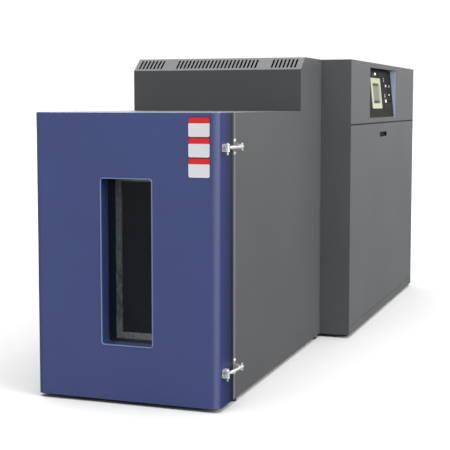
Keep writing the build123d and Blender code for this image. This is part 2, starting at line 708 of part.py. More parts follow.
def hinges():
    """Two lift-off hinges: body knuckle below, door knuckle above, pin through both."""
    body_leaves, door_leaves, pins = [], [], []
    half = HINGE_LEAF / 2
    for middle in hinge_heights:
        low = (middle - KNUCKLE_HEIGHT, middle - RUN_GAP / 2)
        high = (middle + RUN_GAP / 2, middle + KNUCKLE_HEIGHT)
        foot = (hinge_x, hinge_y, low[0])
        hole = bar("z", foot, HINGE_PIN_RADIUS + FIT_GAP, high[1] - low[0])
        leaf = bar("z", foot, KNUCKLE_RADIUS, low[1] - low[0])
        leaf += block((hinge_x - half, hinge_x + half), (hinge_y, body_y0), low)
        leaf_x = (body_x0 + FRONT_BEND, hinge_x + half)
        leaf += block(leaf_x, (body_y0 - HINGE_LEAF, body_y0), (low[0], high[1]))
        body_leaves.append(leaf - hole)
        leaf = bar("z", (hinge_x, hinge_y, high[0]), KNUCKLE_RADIUS, high[1] - high[0])
        leaf += block((hinge_x, door_x0), (hinge_y - half, hinge_y + half), high)
        leaf_y = (hinge_y + half - HINGE_LEAF_WIDTH, hinge_y + half)
        leaf += block((door_x0 - HINGE_LEAF, door_x0), leaf_y, (low[0], high[1]))
        door_leaves.append(leaf - hole)
        pins.append(prism("z", foot, HINGE_PIN_RADIUS, high[1] - low[0], 24))
    save("hinge_body_leaves", *body_leaves)
    save("hinge_door_leaves", *door_leaves)
    save("hinge_pins", *pins)


def latch_clevis(middle):
    """Bracket with two lugs on the door's side, and the upright pin through them."""
    half = CLEVIS_GAP / 2
    y = (latch_pin_y - BOLT_EYE, latch_pin_y + CLEVIS_REACH)
    z = (middle - half - CLEVIS_LUG, middle + half + CLEVIS_LUG)
    lugs = block((door_x1, latch_x + BOLT_EYE), y, z)
    lugs -= block((door_x1 + CLEVIS_BASE, latch_x + BOLT_EYE), y, (middle - half, middle + half))
    ends = lugs.edges().filter_by(Axis.Z).group_by(Axis.X)[-1]
    lugs = chamfer(ends.group_by(Axis.Y)[-1], LATCH_OFFSET - CLEVIS_BASE, CLEVIS_REACH)
    ends = lugs.edges().filter_by(Axis.Z).group_by(Axis.Y)[0].sort_by(Axis.X)[-2:]
    lugs = chamfer(ends, BOLT_EYE / 2)
    foot = z[0] - LATCH_PIN_TAIL
    centre = (latch_x, latch_pin_y, foot)
    pin = prism("z", centre, LATCH_PIN_RADIUS, z[1] + CLEVIS_LUG - foot, 24)
    hole = prism("z", centre, LATCH_PIN_RADIUS + FIT_GAP, z[1] - foot, 24)
    return [lugs - hole, pin]


def latch_keeper(middle):
    """Forked keeper on the body's side, with an ear above and below for its screws."""
    full = FORK_HALF_HEIGHT + KEEPER_EAR
    foot_x = (body_x1, body_x1 + KEEPER_SHEET)
    foot = block(foot_x, (fork_y, fork_y + KEEPER_FOOT), (middle - full, middle + full))
    room = WING_RADIUS + KEEPER_SHEET
    nut_y = (fork_y + FORK_PLATE, fork_y + KEEPER_FOOT)
    foot -= block(foot_x, nut_y, (middle - room, middle + room))
    fork_x = (body_x1, latch_x + FORK_REACH)
    fork_z = (middle - FORK_HALF_HEIGHT, middle + FORK_HALF_HEIGHT)
    fork = block(fork_x, (fork_y, nut_y[0]), fork_z)
    fork = chamfer(fork.edges().filter_by(Axis.Y).group_by(Axis.X)[-1], FORK_PLATE)
    slot = BOLT_RADIUS + FORK_SLACK
    fork -= block((latch_x, fork_x[1]), (fork_y, nut_y[0]), (middle - slot, middle + slot))
    return foot + fork - bar("y", (latch_x, fork_y, middle), slot, FORK_PLATE)


def swing_bolt(middle):
    """Eye bolt on the latch pin and the wing nut on its thread, turned to their rest angle."""
    place = Pos(latch_x, latch_pin_y, middle) * Rot(0, 0, -BOLT_REST)
    eye = CLEVIS_GAP - 2 * RUN_GAP
    bolt = prism("z", (0, 0, -eye / 2), BOLT_EYE - BOLT_RADIUS / 5, eye, 24)
    bolt += bar("y", (0, 0, 0), BOLT_RADIUS, nut_at + NUT_LENGTH + BOLT_TAIL)
    bolt -= bar("z", (0, 0, -eye / 2), LATCH_PIN_RADIUS + FIT_GAP, eye)
    nut_end = nut_at + NUT_LENGTH
    wing_end = nut_end + WING_RISE
    wing = [
        (nut_at + WING_ROUND, 0),
        (nut_at + WING_ROUND, NUT_RADIUS),
        (nut_end, WING_RADIUS),
        (wing_end - WING_ROUND, WING_RADIUS),
        (wing_end, WING_RADIUS - WING_ROUND),
        (wing_end, NUT_RADIUS + WING_ROUND),
        (nut_end, NUT_RADIUS - WING_ROUND / 2),
        (nut_end, 0),
    ]
    blade = across(wing, -WING_THICKNESS / 2, WING_THICKNESS / 2)
    nut = prism("y", (0, nut_at, 0), NUT_RADIUS, NUT_LENGTH, 24)
    nut = nut + blade + mirror(blade, about=Plane.XY)
    nut -= bar("y", (0, nut_at, 0), BOLT_RADIUS + FIT_GAP, NUT_LENGTH + WING_RISE)
    return place * bolt, place * nut


def latches():
    """Both latches, upper and lower."""
    clevises, keepers = [], []
    for name, z in (("upper", upper_latch_z), ("lower", lower_latch_z)):
        clevises += latch_clevis(z)
        keepers.append(latch_keeper(z))
        bolt, nut = swing_bolt(z)
        save(f"{name}_swing_bolt", bolt)
        save(f"{name}_wing_nut", nut)
    save("latch_clevises", *clevises)
    save("latch_keepers", *keepers)


# Cabinet panels

def vents(across_x, middle, plane, low, length):
    """Cutters for a column of level vent slots through the panel that lies at plane."""
    span = (middle - length / 2, middle + length / 2)
    through = (plane - 2 * SHEET, plane + 2 * SHEET)
    x, y = (span, through) if across_x else (through, span)
    heights = [low + k * VENT_PITCH for k in range(VENT_COUNT)]
    return [block(x, y, (z, z + VENT_SLOT)) for z in heights]


def cabinet_panels():
    """Fixed panels of the cabinet: front strips, top, left side and rear."""
    z = (FOOT_HEIGHT, HEIGHT - SHEET)
    front_y = (cabinet_y0, cabinet_y0 + SHEET)
    right = block((body_x1, cabinet_x1), front_y, z)
    left = block((cabinet_x0, body_x0), front_y, z)
    save("cabinet_front_strips", right, left)
    top = block((cabinet_x0, cabinet_x1), (cabinet_y0, cabinet_y1), (HEIGHT - SHEET, HEIGHT))
    save("cabinet_top", top)
    y = (cabinet_y0 + SHEET, cabinet_y1 - SHEET)
    side = block((cabinet_x0, -post_x - TUBE), y, z)
    side -= block((cabinet_x0 + SHEET, -post_x - TUBE), (y[0] + SHEET, y[1] - SHEET), z)
    for share in (0.3, 0.7):
        middle = y[0] + share * (y[1] - y[0])
        for cutter in vents(False, middle, cabinet_x0, base_top + 3 * TUBE, VENT_LENGTH):
            side -= cutter
    save("cabinet_left_panel", side)
    rear = block((cabinet_x0, cabinet_x1), (y[1], cabinet_y1), z)
    for middle in (-condenser_x1 / 2, condenser_x1 / 2):
        length = condenser_x1 - 3 * VENT_SLOT
        for cutter in vents(True, middle, cabinet_y1, base_top + 3 * TUBE, length):
            rear -= cutter
    half = INLET_SIZE / 2
    inlet_z = (INLET_HEIGHT - half, INLET_HEIGHT + half)
    save("rear_panel", rear - block((inlet_x - half, inlet_x + half), (y[1], cabinet_y1), inlet_z))


def power_inlet():
    """Recessed inlet box in the rear panel, with a cable gland pointing down inside it."""
    y0 = cabinet_y1 - INLET_DEPTH
    wall = 2 * SHEET
    half = INLET_SIZE / 2
    x = (inlet_x - half, inlet_x + half)
    z = (INLET_HEIGHT - half, INLET_HEIGHT + half)
    box = block(x, (y0, cabinet_y1), z)
    box -= block((x[0] + wall, x[1] - wall), (y0 + wall, cabinet_y1), (z[0] + wall, z[1] - wall))
    gland_y = cabinet_y1 - INLET_DEPTH / 2
    gland = (inlet_x, gland_y, z[1] - wall - TUBE)
    box += prism("z", gland, TUBE / 3, TUBE, 6) - prism("z", gland, TUBE / 5, TUBE, 12)
    save("power_inlet", box)


def right_side():
    """Control fascia above the seam, removable panel below it, and the plinth strip."""
    y = (cabinet_y0 + SHEET + SEAM_GAP / 2, cabinet_y1 - SHEET - SEAM_GAP / 2)
    skin = cabinet_x1 - SHEET
    flange = skin - PANEL_FLANGE
    post = post_x + TUBE
    seam = (seam_z - SEAM_GAP / 2, seam_z + SEAM_GAP / 2)
    z = (seam[1], HEIGHT - SHEET)
    fascia = block((post, cabinet_x1), y, z)
    fascia -= block((post, skin), (y[0] + SHEET, y[1] - SHEET), (z[0] + SHEET, z[1]))
    fascia -= block((skin, cabinet_x1), (recess_y0, recess_y1), (recess_bottom, recess_top))
    save("control_fascia", fascia)

    z = (PLINTH_TOP + SEAM_GAP, seam[0])
    panel = block((flange, cabinet_x1), y, z)
    panel -= block((flange, skin), (y[0] + SHEET, y[1] - SHEET), (z[0] + SHEET, z[1] - SHEET))
    save("access_panel", panel - pull_cup((skin, cabinet_x1), RUN_GAP))

    z = (FOOT_HEIGHT, PLINTH_TOP)
    plinth = block((post, cabinet_x1), y, z)
    save("cabinet_plinth", plinth - block((post, skin), y, (z[0] + SHEET, z[1] - SHEET)))

    catches = []
    for share in (0.15, 0.85):
        middle = y[0] + share * (y[1] - y[0])
        span = (middle - CATCH_WIDTH / 2, middle + CATCH_WIDTH / 2)
        low = (PLINTH_TOP, PLINTH_TOP + SEAM_GAP - RUN_GAP)
        catches.append(block((post, skin), span, low))
        catches.append(block((post, flange - RUN_GAP), span, (seam_z - TUBE / 2, seam[0])))
    save("panel_catches", *catches)


def pull_cup(x, grow):
    """Block in the place of the pull, grow larger on each side."""
    y = (pull_y - PULL_WIDTH / 2 - grow, pull_y + PULL_WIDTH / 2 + grow)
    return block(x, y, (pull_z - PULL_HEIGHT / 2 - grow, pull_z + PULL_HEIGHT / 2 + grow))


def panel_pull():
    """Cup let into the access panel, flush with it, with a rim behind the sheet."""
    back = cabinet_x1 - PULL_DEPTH
    skin = cabinet_x1 - SHEET
    pull = pull_cup((back, cabinet_x1), 0) + pull_cup((skin - SHEET, skin), PULL_RIM)
    pull -= pull_cup((back + PULL_WALL, cabinet_x1), -PULL_WALL)
    save("panel_pull", pull)


# Control recess

def on_plate(place, solid, lift=0.0):
    """Put a solid, built on the XY plane, at (along, down) on the control plate."""
    along, down = place
    return control_plane.location * Pos(along, -down, lift) * solid


def standing(solid_type, *sizes):
    """Make a box or cylinder that stands on the XY plane."""
    return solid_type(*sizes, align=(Align.CENTER, Align.CENTER, Align.MIN))


def recess_tray():
    """Four walls of the recess, from the fascia's sheet in to the leaning plate."""
    t = TRAY_SHEET
    x = (cabinet_x1 - RECESS_DEEP - 2 * PLATE_SHEET, cabinet_x1 - SHEET)
    z = (recess_bottom, recess_top)
    tray = block(x, (recess_y0 - t, recess_y1 + t), (z[0] - t, z[1] + t))
    save("recess_tray", tray - block(x, (recess_y0, recess_y1), z))


def button_stems():
    """Place and stem size of each push button: start, mute and light."""
    return (
        (START_AT, [START_RADIUS * BUTTON_STEM] * 2),
        (MUTE_AT, [MUTE_RADIUS * BUTTON_STEM] * 2),
        (LIGHT_AT, [side * BUTTON_STEM for side in LIGHT_KEY]),
    )


def control_plate():
    """Leaning plate, cut for every control that passes through it, and its socket."""
    middle = (RECESS_LENGTH / 2, panel_length / 2)
    size = (RECESS_LENGTH - 2 * RUN_GAP, panel_length - 2 * RUN_GAP - PLATE_SHEET * sin(panel_lean))
    plate = on_plate(middle, standing(Box, *size, PLATE_SHEET), -PLATE_SHEET)
    plate -= on_plate(KNOB_AT, Cylinder(KNOB_RADIUS * BUTTON_STEM + RUN_GAP, 4 * PLATE_SHEET))
    for place, stem in button_stems():
        hole = [side + 2 * RUN_GAP for side in stem]
        plate -= on_plate(place, Box(*hole, 4 * PLATE_SHEET))
    socket = standing(Box, *SOCKET, SOCKET_PROUD)
    hollow = [side - 2 * SOCKET_WALL for side in SOCKET]
    socket -= Pos(0, 0, SOCKET_PROUD / 3) * standing(Box, *hollow, SOCKET_PROUD)
    save("control_plate", plate, on_plate(SOCKET_AT, socket))


def touch_panel():
    """Touch panel: a bezel with a sunk screen."""
    bezel = standing(Box, TOUCH_WIDTH, TOUCH_HEIGHT, TOUCH_PROUD)
    bezel = chamfer(bezel.edges().filter_by(Axis.Z), 3 * SHEET)
    bezel = chamfer(bezel.faces().sort_by(Axis.Z)[-1].edges(), SHEET)
    bezel -= Pos(0, 0, SHEET) * standing(Box, SCREEN_WIDTH, SCREEN_HEIGHT, TOUCH_PROUD)
    save("touch_bezel", on_plate(TOUCH_AT, bezel))
    depth = TOUCH_PROUD - SHEET - SCREEN_DROP
    screen = standing(Box, SCREEN_WIDTH - 2 * RUN_GAP, SCREEN_HEIGHT - 2 * RUN_GAP, depth)
    save("touch_screen", on_plate(TOUCH_AT, screen, SHEET))


def indicator_lamps():
    """Round status lamp with a raised lens, and four small lamps."""
    lamp = extrude(RegularPolygon(LAMP_RADIUS, 24), LAMP_PROUD / 2)
    lens = Pos(0, 0, LAMP_PROUD / 2) * RegularPolygon(0.75 * LAMP_RADIUS, 24)
    lamp += extrude(lens, LAMP_PROUD / 2, taper=20)
    led = extrude(RegularPolygon(LED_RADIUS, 12), LED_PROUD, taper=10)
    save("indicator_lamps", on_plate(LAMP_AT, lamp), *[on_plate(place, led) for place in LED_PLACES])


def controls():
    """Rotary switch, and three push buttons on stems that pass through the plate."""
    behind = PLATE_SHEET + BUTTON_TRAVEL
    knob = Pos(0, 0, RUN_GAP) * extrude(RegularPolygon(KNOB_RADIUS, 24), KNOB_PROUD)
    knob = chamfer(knob.edges().group_by(Axis.Z)[-1], KNOB_RADIUS / 6)
    knob += Pos(0, 0, KNOB_PROUD) * standing(Box, KNOB_RADIUS / 2, 1.5 * KNOB_RADIUS, KNOB_RADIUS / 3)
    stem = RegularPolygon(KNOB_RADIUS * BUTTON_STEM, 12)
    knob += Pos(0, 0, -behind) * extrude(stem, behind + RUN_GAP)
    save("power_knob", on_plate(KNOB_AT, knob))
    lift = BUTTON_TRAVEL + RUN_GAP
    caps = (
        ("start_button", RegularPolygon(START_RADIUS, 24), START_PROUD),
        ("mute_button", RegularPolygon(MUTE_RADIUS, 24), MUTE_PROUD),
        ("light_button", RectangleRounded(*LIGHT_KEY, LIGHT_CORNER), LIGHT_PROUD),
    )
    for (name, outline, proud), (place, stem) in zip(caps, button_stems()):
        cap = Pos(0, 0, lift) * extrude(outline, proud - lift)
        cap = chamfer(cap.edges().group_by(Axis.Z)[-1], FIT_GAP * 4)
        cap += Pos(0, 0, -behind) * standing(Box, *stem, behind + lift)
        save(name, on_plate(place, cap))


# Machine room

def compressor_places():
    """Middles (x, y) of the two compressors, on the middle cross tube."""
    y = (cabinet_y0 + cabinet_y1) / 2
    return (-2 * COMPRESSOR_RADIUS, y), (2 * COMPRESSOR_RADIUS, y)


def compressors():
    """Two welded hermetic compressors: shouldered shell, foot plate and a pipe stub on top."""
    units = []
    side = 2.2 * COMPRESSOR_RADIUS
    for x, y in compressor_places():
        unit = prism("z", (x, y, floor_z), COMPRESSOR_RADIUS, COMPRESSOR_HEIGHT, 24)
        unit = chamfer(unit.edges().group_by(Axis.Z)[-1], COMPRESSOR_RADIUS / 4)
        unit += Pos(x, y, floor_z) * standing(Box, side, side, 3 * SHEET)
        stub_z = floor_z + COMPRESSOR_HEIGHT / 2
        unit += prism("z", (x, y, stub_z), PIPE_RADIUS + SHEET, compressor_top() - stub_z, 12)
        units.append(unit)
    save("compressors", *units)


def compressor_top():
    """Height of the pipe stub on a compressor."""
    return floor_z + COMPRESSOR_HEIGHT + TUBE


def condenser():
    """Finned block behind the rear panel, its fan shroud, the fan and its motor."""
    x = (-condenser_x1, condenser_x1)
    z = (floor_z, condenser_z1)
    middle = (z[0] + z[1]) / 2
    shroud_y = condenser_y0 - SHROUD_DEPTH
    coil = finned_coil(x, (condenser_y0, condenser_y1), z, CONDENSER_FINS)
    shroud = block(x, (shroud_y, condenser_y0), z)
    inner_z = (z[0] + SHEET, z[1] - SHEET)
    shroud -= block((x[0] + SHEET, x[1] - SHEET), (shroud_y + SHEET, condenser_y0), inner_z)
    shroud -= bar("y", (0, shroud_y, middle), fan_ring, SHEET)
    save("condenser_coil", coil, shroud)
    motor_y = shroud_y - AXIAL_MOTOR_LENGTH
    motor = prism("y", (0, motor_y, middle), AXIAL_MOTOR_RADIUS, AXIAL_MOTOR_LENGTH, 24)
    arm = fan_ring + TUBE
    arm_z = (middle - TUBE / 2, middle + TUBE / 2)
    motor += block((-arm, arm), (shroud_y - 2 * SHEET, shroud_y), arm_z)
    bore_y = motor_y + AXIAL_MOTOR_LENGTH / 2
    motor -= bar("y", (0, bore_y, middle), SHAFT_RADIUS + FIT_GAP, AXIAL_MOTOR_LENGTH)
    save("condenser_motor", motor)
    hub_y = shroud_y + 2 * SHEET
    fan = prism("y", (0, hub_y, middle), AXIAL_MOTOR_RADIUS, SHROUD_DEPTH / 2, 2 * AXIAL_BLADES)
    fan += bar("y", (0, bore_y + RUN_GAP, middle), SHAFT_RADIUS, hub_y - bore_y)
    reach = fan_ring - 4 * SHEET
    low_end = (Align.MIN, Align.CENTER, Align.CENTER)
    blade = Rot(24, 0, 0) * Box(reach, AXIAL_MOTOR_RADIUS, SHEET, align=low_end)
    for k in range(AXIAL_BLADES):
        turn = Rot(0, k * 360 / AXIAL_BLADES, 0) * Rot(90, 0, 0)
        fan += Pos(0, hub_y + SHROUD_DEPTH / 4, middle) * turn * blade
    save("condenser_fan", fan)


def refrigerant_pipes():
    """Two straight copper runs to the cooling coil, and a bent one up to the condenser."""
    coil_y = fan_y + COIL_DEPTH / 2 + HEADER_DEPTH
    pipes = []
    for x, y in compressor_places():
        start = (x, coil_y, suction_height())
        pipes.append(prism("y", start, PIPE_RADIUS, y - COMPRESSOR_RADIUS - coil_y, 12))
    high = condenser_z1 - TUBE
    points = ((x, y, compressor_top()), (x, y, high), (x, condenser_y0 - SHROUD_DEPTH, high))
    line = FilletPolyline(*points, radius=PIPE_BEND)
    section = Plane(origin=line @ 0, z_dir=line % 0) * RegularPolygon(PIPE_RADIUS, 12)
    save("refrigerant_pipes", *pipes, sweep(section, path=line))


def humidifier_tank():
    """Water tank on the machine room's floor, with a screw lid."""
    width, depth = TANK
    height = suction_height() - PIPE_RADIUS - TANK_CLEARANCE - floor_z
    x0 = -post_x + TUBE / 2
    y0 = cabinet_y0 + SHEET + TUBE
    tank = block((x0, x0 + width), (y0, y0 + depth), (floor_z, floor_z + height))
    tank = chamfer(tank.edges().filter_by(Axis.Z), TUBE / 2)
    lid = prism("z", (x0 + width / 2, y0 + depth / 2, floor_z + height), TUBE, TUBE / 2, 16)
    save("humidifier_tank", tank + lid)


def electrical_plate():
    """Back plate between the right-hand posts, with rows of switchgear on it."""
    y = (cabinet_y0 + SHEET + TUBE, (cabinet_y0 + cabinet_y1 - TUBE) / 2)
    z = (seam_z - 16 * TUBE, seam_z - TUBE)
    plate = block((post_x, post_x + SHEET), y, z)
    gear_x = (post_x + SHEET, post_x + SHEET + GEAR_HEIGHT)
    wide = (y[1] - y[0]) / GEAR_COLUMNS
    high = (z[1] - z[0]) / GEAR_ROWS
    for row in range(GEAR_ROWS):
        base = z[0] + (row + 0.25) * high
        for k in range(GEAR_COLUMNS):
            start = y[0] + (k + 0.15) * wide
            plate += block(gear_x, (start, start + 0.7 * wide), (base, base + high / 2))
    save("electrical_plate", plate)


def main():
    """Build every node."""
    os.makedirs("parts", exist_ok=True)
    base_frame()
    levelling_feet()
    cabinet_frame()
    body_side("body_side_right", body_x1, lip_x1, False)
    body_side("body_side_left", body_x0, lip_x0, True)
    body_top()
    hood_cover()
    front_frame()
    chamber_liner()
    wall_insulation()
    air_baffle()
    evaporator_coil()
    heater_bank()
    circulation_motor()
    circulation_fan()
    cable_port()
    door_shell()
    door_core()
    door_inner_panel()
    door_gasket()
    window()
    hinges()
    latches()
    cabinet_panels()
    power_inlet()
    right_side()
    panel_pull()
    recess_tray()
    control_plate()
    touch_panel()
    indicator_lamps()
    controls()
    compressors()
    condenser()
    refrigerant_pipes()
    humidifier_tank()
    electrical_plate()


main()
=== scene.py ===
"""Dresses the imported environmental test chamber: finishes, small pieces, studio and camera."""

import logging
import math
from dataclasses import dataclass, replace
from enum import Enum

import bmesh
import bpy
from mathutils import Matrix, Vector


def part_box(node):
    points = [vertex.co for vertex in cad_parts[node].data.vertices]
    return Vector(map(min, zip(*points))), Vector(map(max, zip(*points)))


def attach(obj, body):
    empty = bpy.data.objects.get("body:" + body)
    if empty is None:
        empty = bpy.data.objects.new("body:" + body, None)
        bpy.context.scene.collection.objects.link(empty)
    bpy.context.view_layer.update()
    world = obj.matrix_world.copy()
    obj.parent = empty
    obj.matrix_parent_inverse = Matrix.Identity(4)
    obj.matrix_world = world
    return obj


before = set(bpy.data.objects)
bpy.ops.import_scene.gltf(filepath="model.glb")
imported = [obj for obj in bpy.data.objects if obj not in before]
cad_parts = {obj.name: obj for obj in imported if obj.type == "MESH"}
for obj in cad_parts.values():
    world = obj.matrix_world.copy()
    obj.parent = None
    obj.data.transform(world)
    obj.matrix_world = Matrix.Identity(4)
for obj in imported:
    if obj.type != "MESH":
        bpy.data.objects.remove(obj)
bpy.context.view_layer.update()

log = logging.getLogger("test_chamber")
Point = tuple[float, float, float]


class Side(Enum):
    """Which way an outer face looks."""

    REAR = (0.0, 1.0, 0.0)
    RIGHT = (1.0, 0.0, 0.0)
    LEFT = (-1.0, 0.0, 0.0)


def linear(hex_colour: str) -> tuple[float, float, float, float]:
    """Turn an sRGB hex colour into the linear values that shaders take.

    Args:
        hex_colour: six hex digits, with or without a leading mark.

    Returns:
        Linear red, green, blue and an alpha of one.
    """
    digits = hex_colour.lstrip("#")
    parts = [int(digits[k:k + 2], 16) / 255 for k in (0, 2, 4)]
    red, green, blue = [p / 12.92 if p <= 0.04045 else ((p + 0.055) / 1.055) ** 2.4 for p in parts]
    return (red, green, blue, 1.0)


def per_metre(millimetres: float) -> float:
    """Return the pattern scale that repeats once in so many millimetres."""
    return 1000.0 / millimetres


def add_node(tree: bpy.types.NodeTree, kind: str, settings: dict | None = None,
             values: dict | None = None, links: dict | None = None) -> bpy.types.Node:
    """Add one shader node with its settings, socket values and incoming links.

    Args:
        tree: the node tree that takes the node.
        kind: the node's type name.
        settings: attributes of the node.
        values: socket values by socket name or number.
        links: output sockets to connect, by input socket name or number.

    Returns:
        The new node.
    """
    node = tree.nodes.new(kind)
    for name, value in (settings or {}).items():
        setattr(node, name, value)
    for name, value in (values or {}).items():
        node.inputs[name].default_value = value
    for name, output in (links or {}).items():
        tree.links.new(output, node.inputs[name])
    return node


@dataclass(frozen=True)
class Zone:
    """The part of a piece beyond a plane, with a colour laid over it, such as a painted highlight, painted
    shade or a pane's tint.

    Args:
        axis: the axis that the plane stands across: X, Y or Z.
        start: where the change begins, in metres.
        fade: signed length of the change, in metres; negative looks back along the axis.
        colour: the zone's colour as sRGB hex.
    """

    axis: str
    start: float
    fade: float
    colour: str

    def share(self, tree: bpy.types.NodeTree, place: bpy.types.NodeSocket) -> bpy.types.NodeSocket:
        """Return a value that rises from zero to one across the change.

        Args:
            tree: the material's node tree.
            place: Object coordinates.

        Returns:
            The output socket with the share.
        """
        parts = add_node(tree, "ShaderNodeSeparateXYZ", links={"Vector": place})
        reach = {"From Min": self.start, "From Max": self.start + self.fade}
        span = add_node(tree, "ShaderNodeMapRange", values=reach,
                        links={"Value": parts.outputs[self.axis]})
        return span.outputs[0]

    def over(self, tree: bpy.types.NodeTree, place: bpy.types.NodeSocket,
             base: bpy.types.NodeSocket) -> bpy.types.NodeSocket:
        """Lay the zone's colour over another.

        Args:
            tree: the material's node tree.
            place: Object coordinates.
            base: the colour outside the zone.

        Returns:
            The output socket with the mixed colour.
        """
        mixed = add_node(tree, "ShaderNodeMix", {"data_type": "RGBA"}, {7: linear(self.colour)},
                         {0: self.share(tree, place), 6: base})
        return mixed.outputs[2]


@dataclass(frozen=True)
class Finish:
    """One real material with its surface treatment.

    Args:
        name: the material's plain name.
        colour: base colour as sRGB hex.
        roughness: mean roughness.
        metallic: one for bare metal, less where the metal looks paler than a mirror.
        grain_mm: size of the surface pattern.
        bump_mm: height of the surface pattern.
        tint: how far the colour drifts over a broad area, as a share.
        rough_drift: how far roughness drifts with the pattern.
        stretch: pattern stretch along x, y and z, for brushed or drawn surfaces.
        coat: strength of a clear gloss layer.
        ior: index of refraction of a non-metal.
        drift_mm: size of the broad area over which the colour drifts.
        edge_mm: radius by which edges look rounded.
        shine: level of the non-metal reflection, 0.5 for its plain index.
        zones: parts of the piece where a painted highlight or painted shade is laid over the colour.
    """

    name: str
    colour: str
    roughness: float = 0.5
    metallic: float = 0.0
    grain_mm: float = 4.0
    bump_mm: float = 0.02
    tint: float = 0.04
    rough_drift: float = 0.08
    stretch: Point = (1.0, 1.0, 1.0)
    coat: float = 0.0
    ior: float = 1.5
    drift_mm: float = 420.0
    edge_mm: float = 0.0
    shine: float = 0.5
    zones: tuple[Zone, ...] = ()

    def build(self) -> bpy.types.Material:
        """Return the material, made once and then shared."""
        known = bpy.data.materials.get(self.name)
        if known:
            return known
        material = bpy.data.materials.new(self.name)
        material.use_nodes = True
        tree = material.node_tree
        tree.nodes.clear()
        place = add_node(tree, "ShaderNodeTexCoord").outputs["Object"]
        fine = add_node(tree, "ShaderNodeMapping", values={"Scale": self.stretch}, links={"Vector": place})
        grain = add_node(tree, "ShaderNodeTexNoise",
                         values={"Scale": per_metre(self.grain_mm), "Detail": 3.0},
                         links={"Vector": fine.outputs[0]})
        broad = add_node(tree, "ShaderNodeTexNoise",
                         values={"Scale": per_metre(self.drift_mm), "Detail": 2.0},
                         links={"Vector": fine.outputs[0] if self.drift_mm < 100 else place})
        base = linear(self.colour)
        light = tuple(min(1.0, c * (1 + self.tint)) for c in base[:3]) + (1.0,)
        dark = tuple(max(0.0, c * (1 - self.tint)) for c in base[:3]) + (1.0,)
        swing = add_node(tree, "ShaderNodeMapRange", values={"From Min": 0.35, "From Max": 0.65},
                         links={"Value": broad.outputs[0]})
        mixed = add_node(tree, "ShaderNodeMix", {"data_type": "RGBA"}, {6: dark, 7: light},
                         {0: swing.outputs[0]})
        colour = mixed.outputs[2]
        for zone in self.zones:
            colour = zone.over(tree, place, colour)
        low, high = self.roughness - self.rough_drift, self.roughness + self.rough_drift
        rough = add_node(tree, "ShaderNodeMapRange",
                         values={"From Min": 0.3, "From Max": 0.7,
                                 "To Min": max(low, 0.02), "To Max": min(high, 1.0)},
                         links={"Value": grain.outputs[0]})
        relief = {"Height": grain.outputs[0]}
        if self.edge_mm:
            edge = add_node(tree, "ShaderNodeBevel", {"samples": 4}, {"Radius": self.edge_mm / 1000})
            relief["Normal"] = edge.outputs[0]
        bump = add_node(tree, "ShaderNodeBump", values={"Strength": 1.0, "Distance": self.bump_mm / 1000},
                        links=relief)
        shader = add_node(tree, "ShaderNodeBsdfPrincipled", values={"Metallic": self.metallic},
                          links={"Base Color": colour, "Roughness": rough.outputs[0],
                                 "Normal": bump.outputs[0]})
        if not self.metallic:
            shader.inputs["IOR"].default_value = self.ior
            shader.inputs["Specular IOR Level"].default_value = self.shine
        if self.coat:
            shader.inputs["Coat Weight"].default_value = self.coat
            shader.inputs["Coat Roughness"].default_value = 0.08
        add_node(tree, "ShaderNodeOutputMaterial", links={"Surface": shader.outputs[0]})
        return material


@dataclass(frozen=True)
class Glass:
    """Flat clear or tinted safety glass.

    Args:
        name: the material's plain name.
        colour: tint as sRGB hex.
        coated: the inner pane, darkened by its coating and by a painted reflection tint.
        roughness: surface roughness, near zero for float glass.
    """

    name: str
    colour: str
    coated: Zone
    roughness: float = 0.02

    def build(self) -> bpy.types.Material:
        """Return the material, made once and then shared."""
        known = bpy.data.materials.get(self.name)
        if known:
            return known
        material = bpy.data.materials.new(self.name)
        material.use_nodes = True
        tree = material.node_tree
        tree.nodes.clear()
        place = add_node(tree, "ShaderNodeTexCoord").outputs["Object"]
        smear = add_node(tree, "ShaderNodeTexNoise", values={"Scale": per_metre(160.0), "Detail": 4.0},
                         links={"Vector": place})
        rough = add_node(tree, "ShaderNodeMapRange",
                         values={"To Min": self.roughness, "To Max": self.roughness + 0.04},
                         links={"Value": smear.outputs[0]})
        plain = add_node(tree, "ShaderNodeRGB")
        plain.outputs[0].default_value = linear(self.colour)
        coating = self.coated.share(tree, place)
        clear = add_node(tree, "ShaderNodeMapRange", values={"To Min": 1.0, "To Max": 0.25},
                         links={"Value": coating})
        shader = add_node(tree, "ShaderNodeBsdfPrincipled", values={"IOR": 1.52, "Specular IOR Level": 0.12},
                          links={"Base Color": self.coated.over(tree, place, plain.outputs[0]),
                                 "Transmission Weight": clear.outputs[0], "Roughness": rough.outputs[0]})
        add_node(tree, "ShaderNodeOutputMaterial", links={"Surface": shader.outputs[0]})
        return material


@dataclass(frozen=True)
class LitPlastic:
    """Diffusing plastic with a lamp behind it.

    Args:
        name: the material's plain name.
        colour: colour of the lens as sRGB hex.
        strength: how brightly it glows.
    """

    name: str
    colour: str
    strength: float = 0.6

    def build(self) -> bpy.types.Material:
        """Return the material, made once and then shared."""
        known = bpy.data.materials.get(self.name)
        if known:
            return known
        material = bpy.data.materials.new(self.name)
        material.use_nodes = True
        tree = material.node_tree
        tree.nodes.clear()
        place = add_node(tree, "ShaderNodeTexCoord").outputs["Object"]
        facets = add_node(tree, "ShaderNodeTexVoronoi", values={"Scale": per_metre(1.5)},
                          links={"Vector": place})
        bump = add_node(tree, "ShaderNodeBump", values={"Distance": 0.0002},
                        links={"Height": facets.outputs[0]})
        shader = add_node(tree, "ShaderNodeBsdfPrincipled",
                          values={"Base Color": linear(self.colour), "Roughness": 0.25,
                                  "Emission Color": linear(self.colour), "Emission Strength": self.strength},
                          links={"Normal": bump.outputs[0]})
        add_node(tree, "ShaderNodeOutputMaterial", links={"Surface": shader.outputs[0]})
        return material


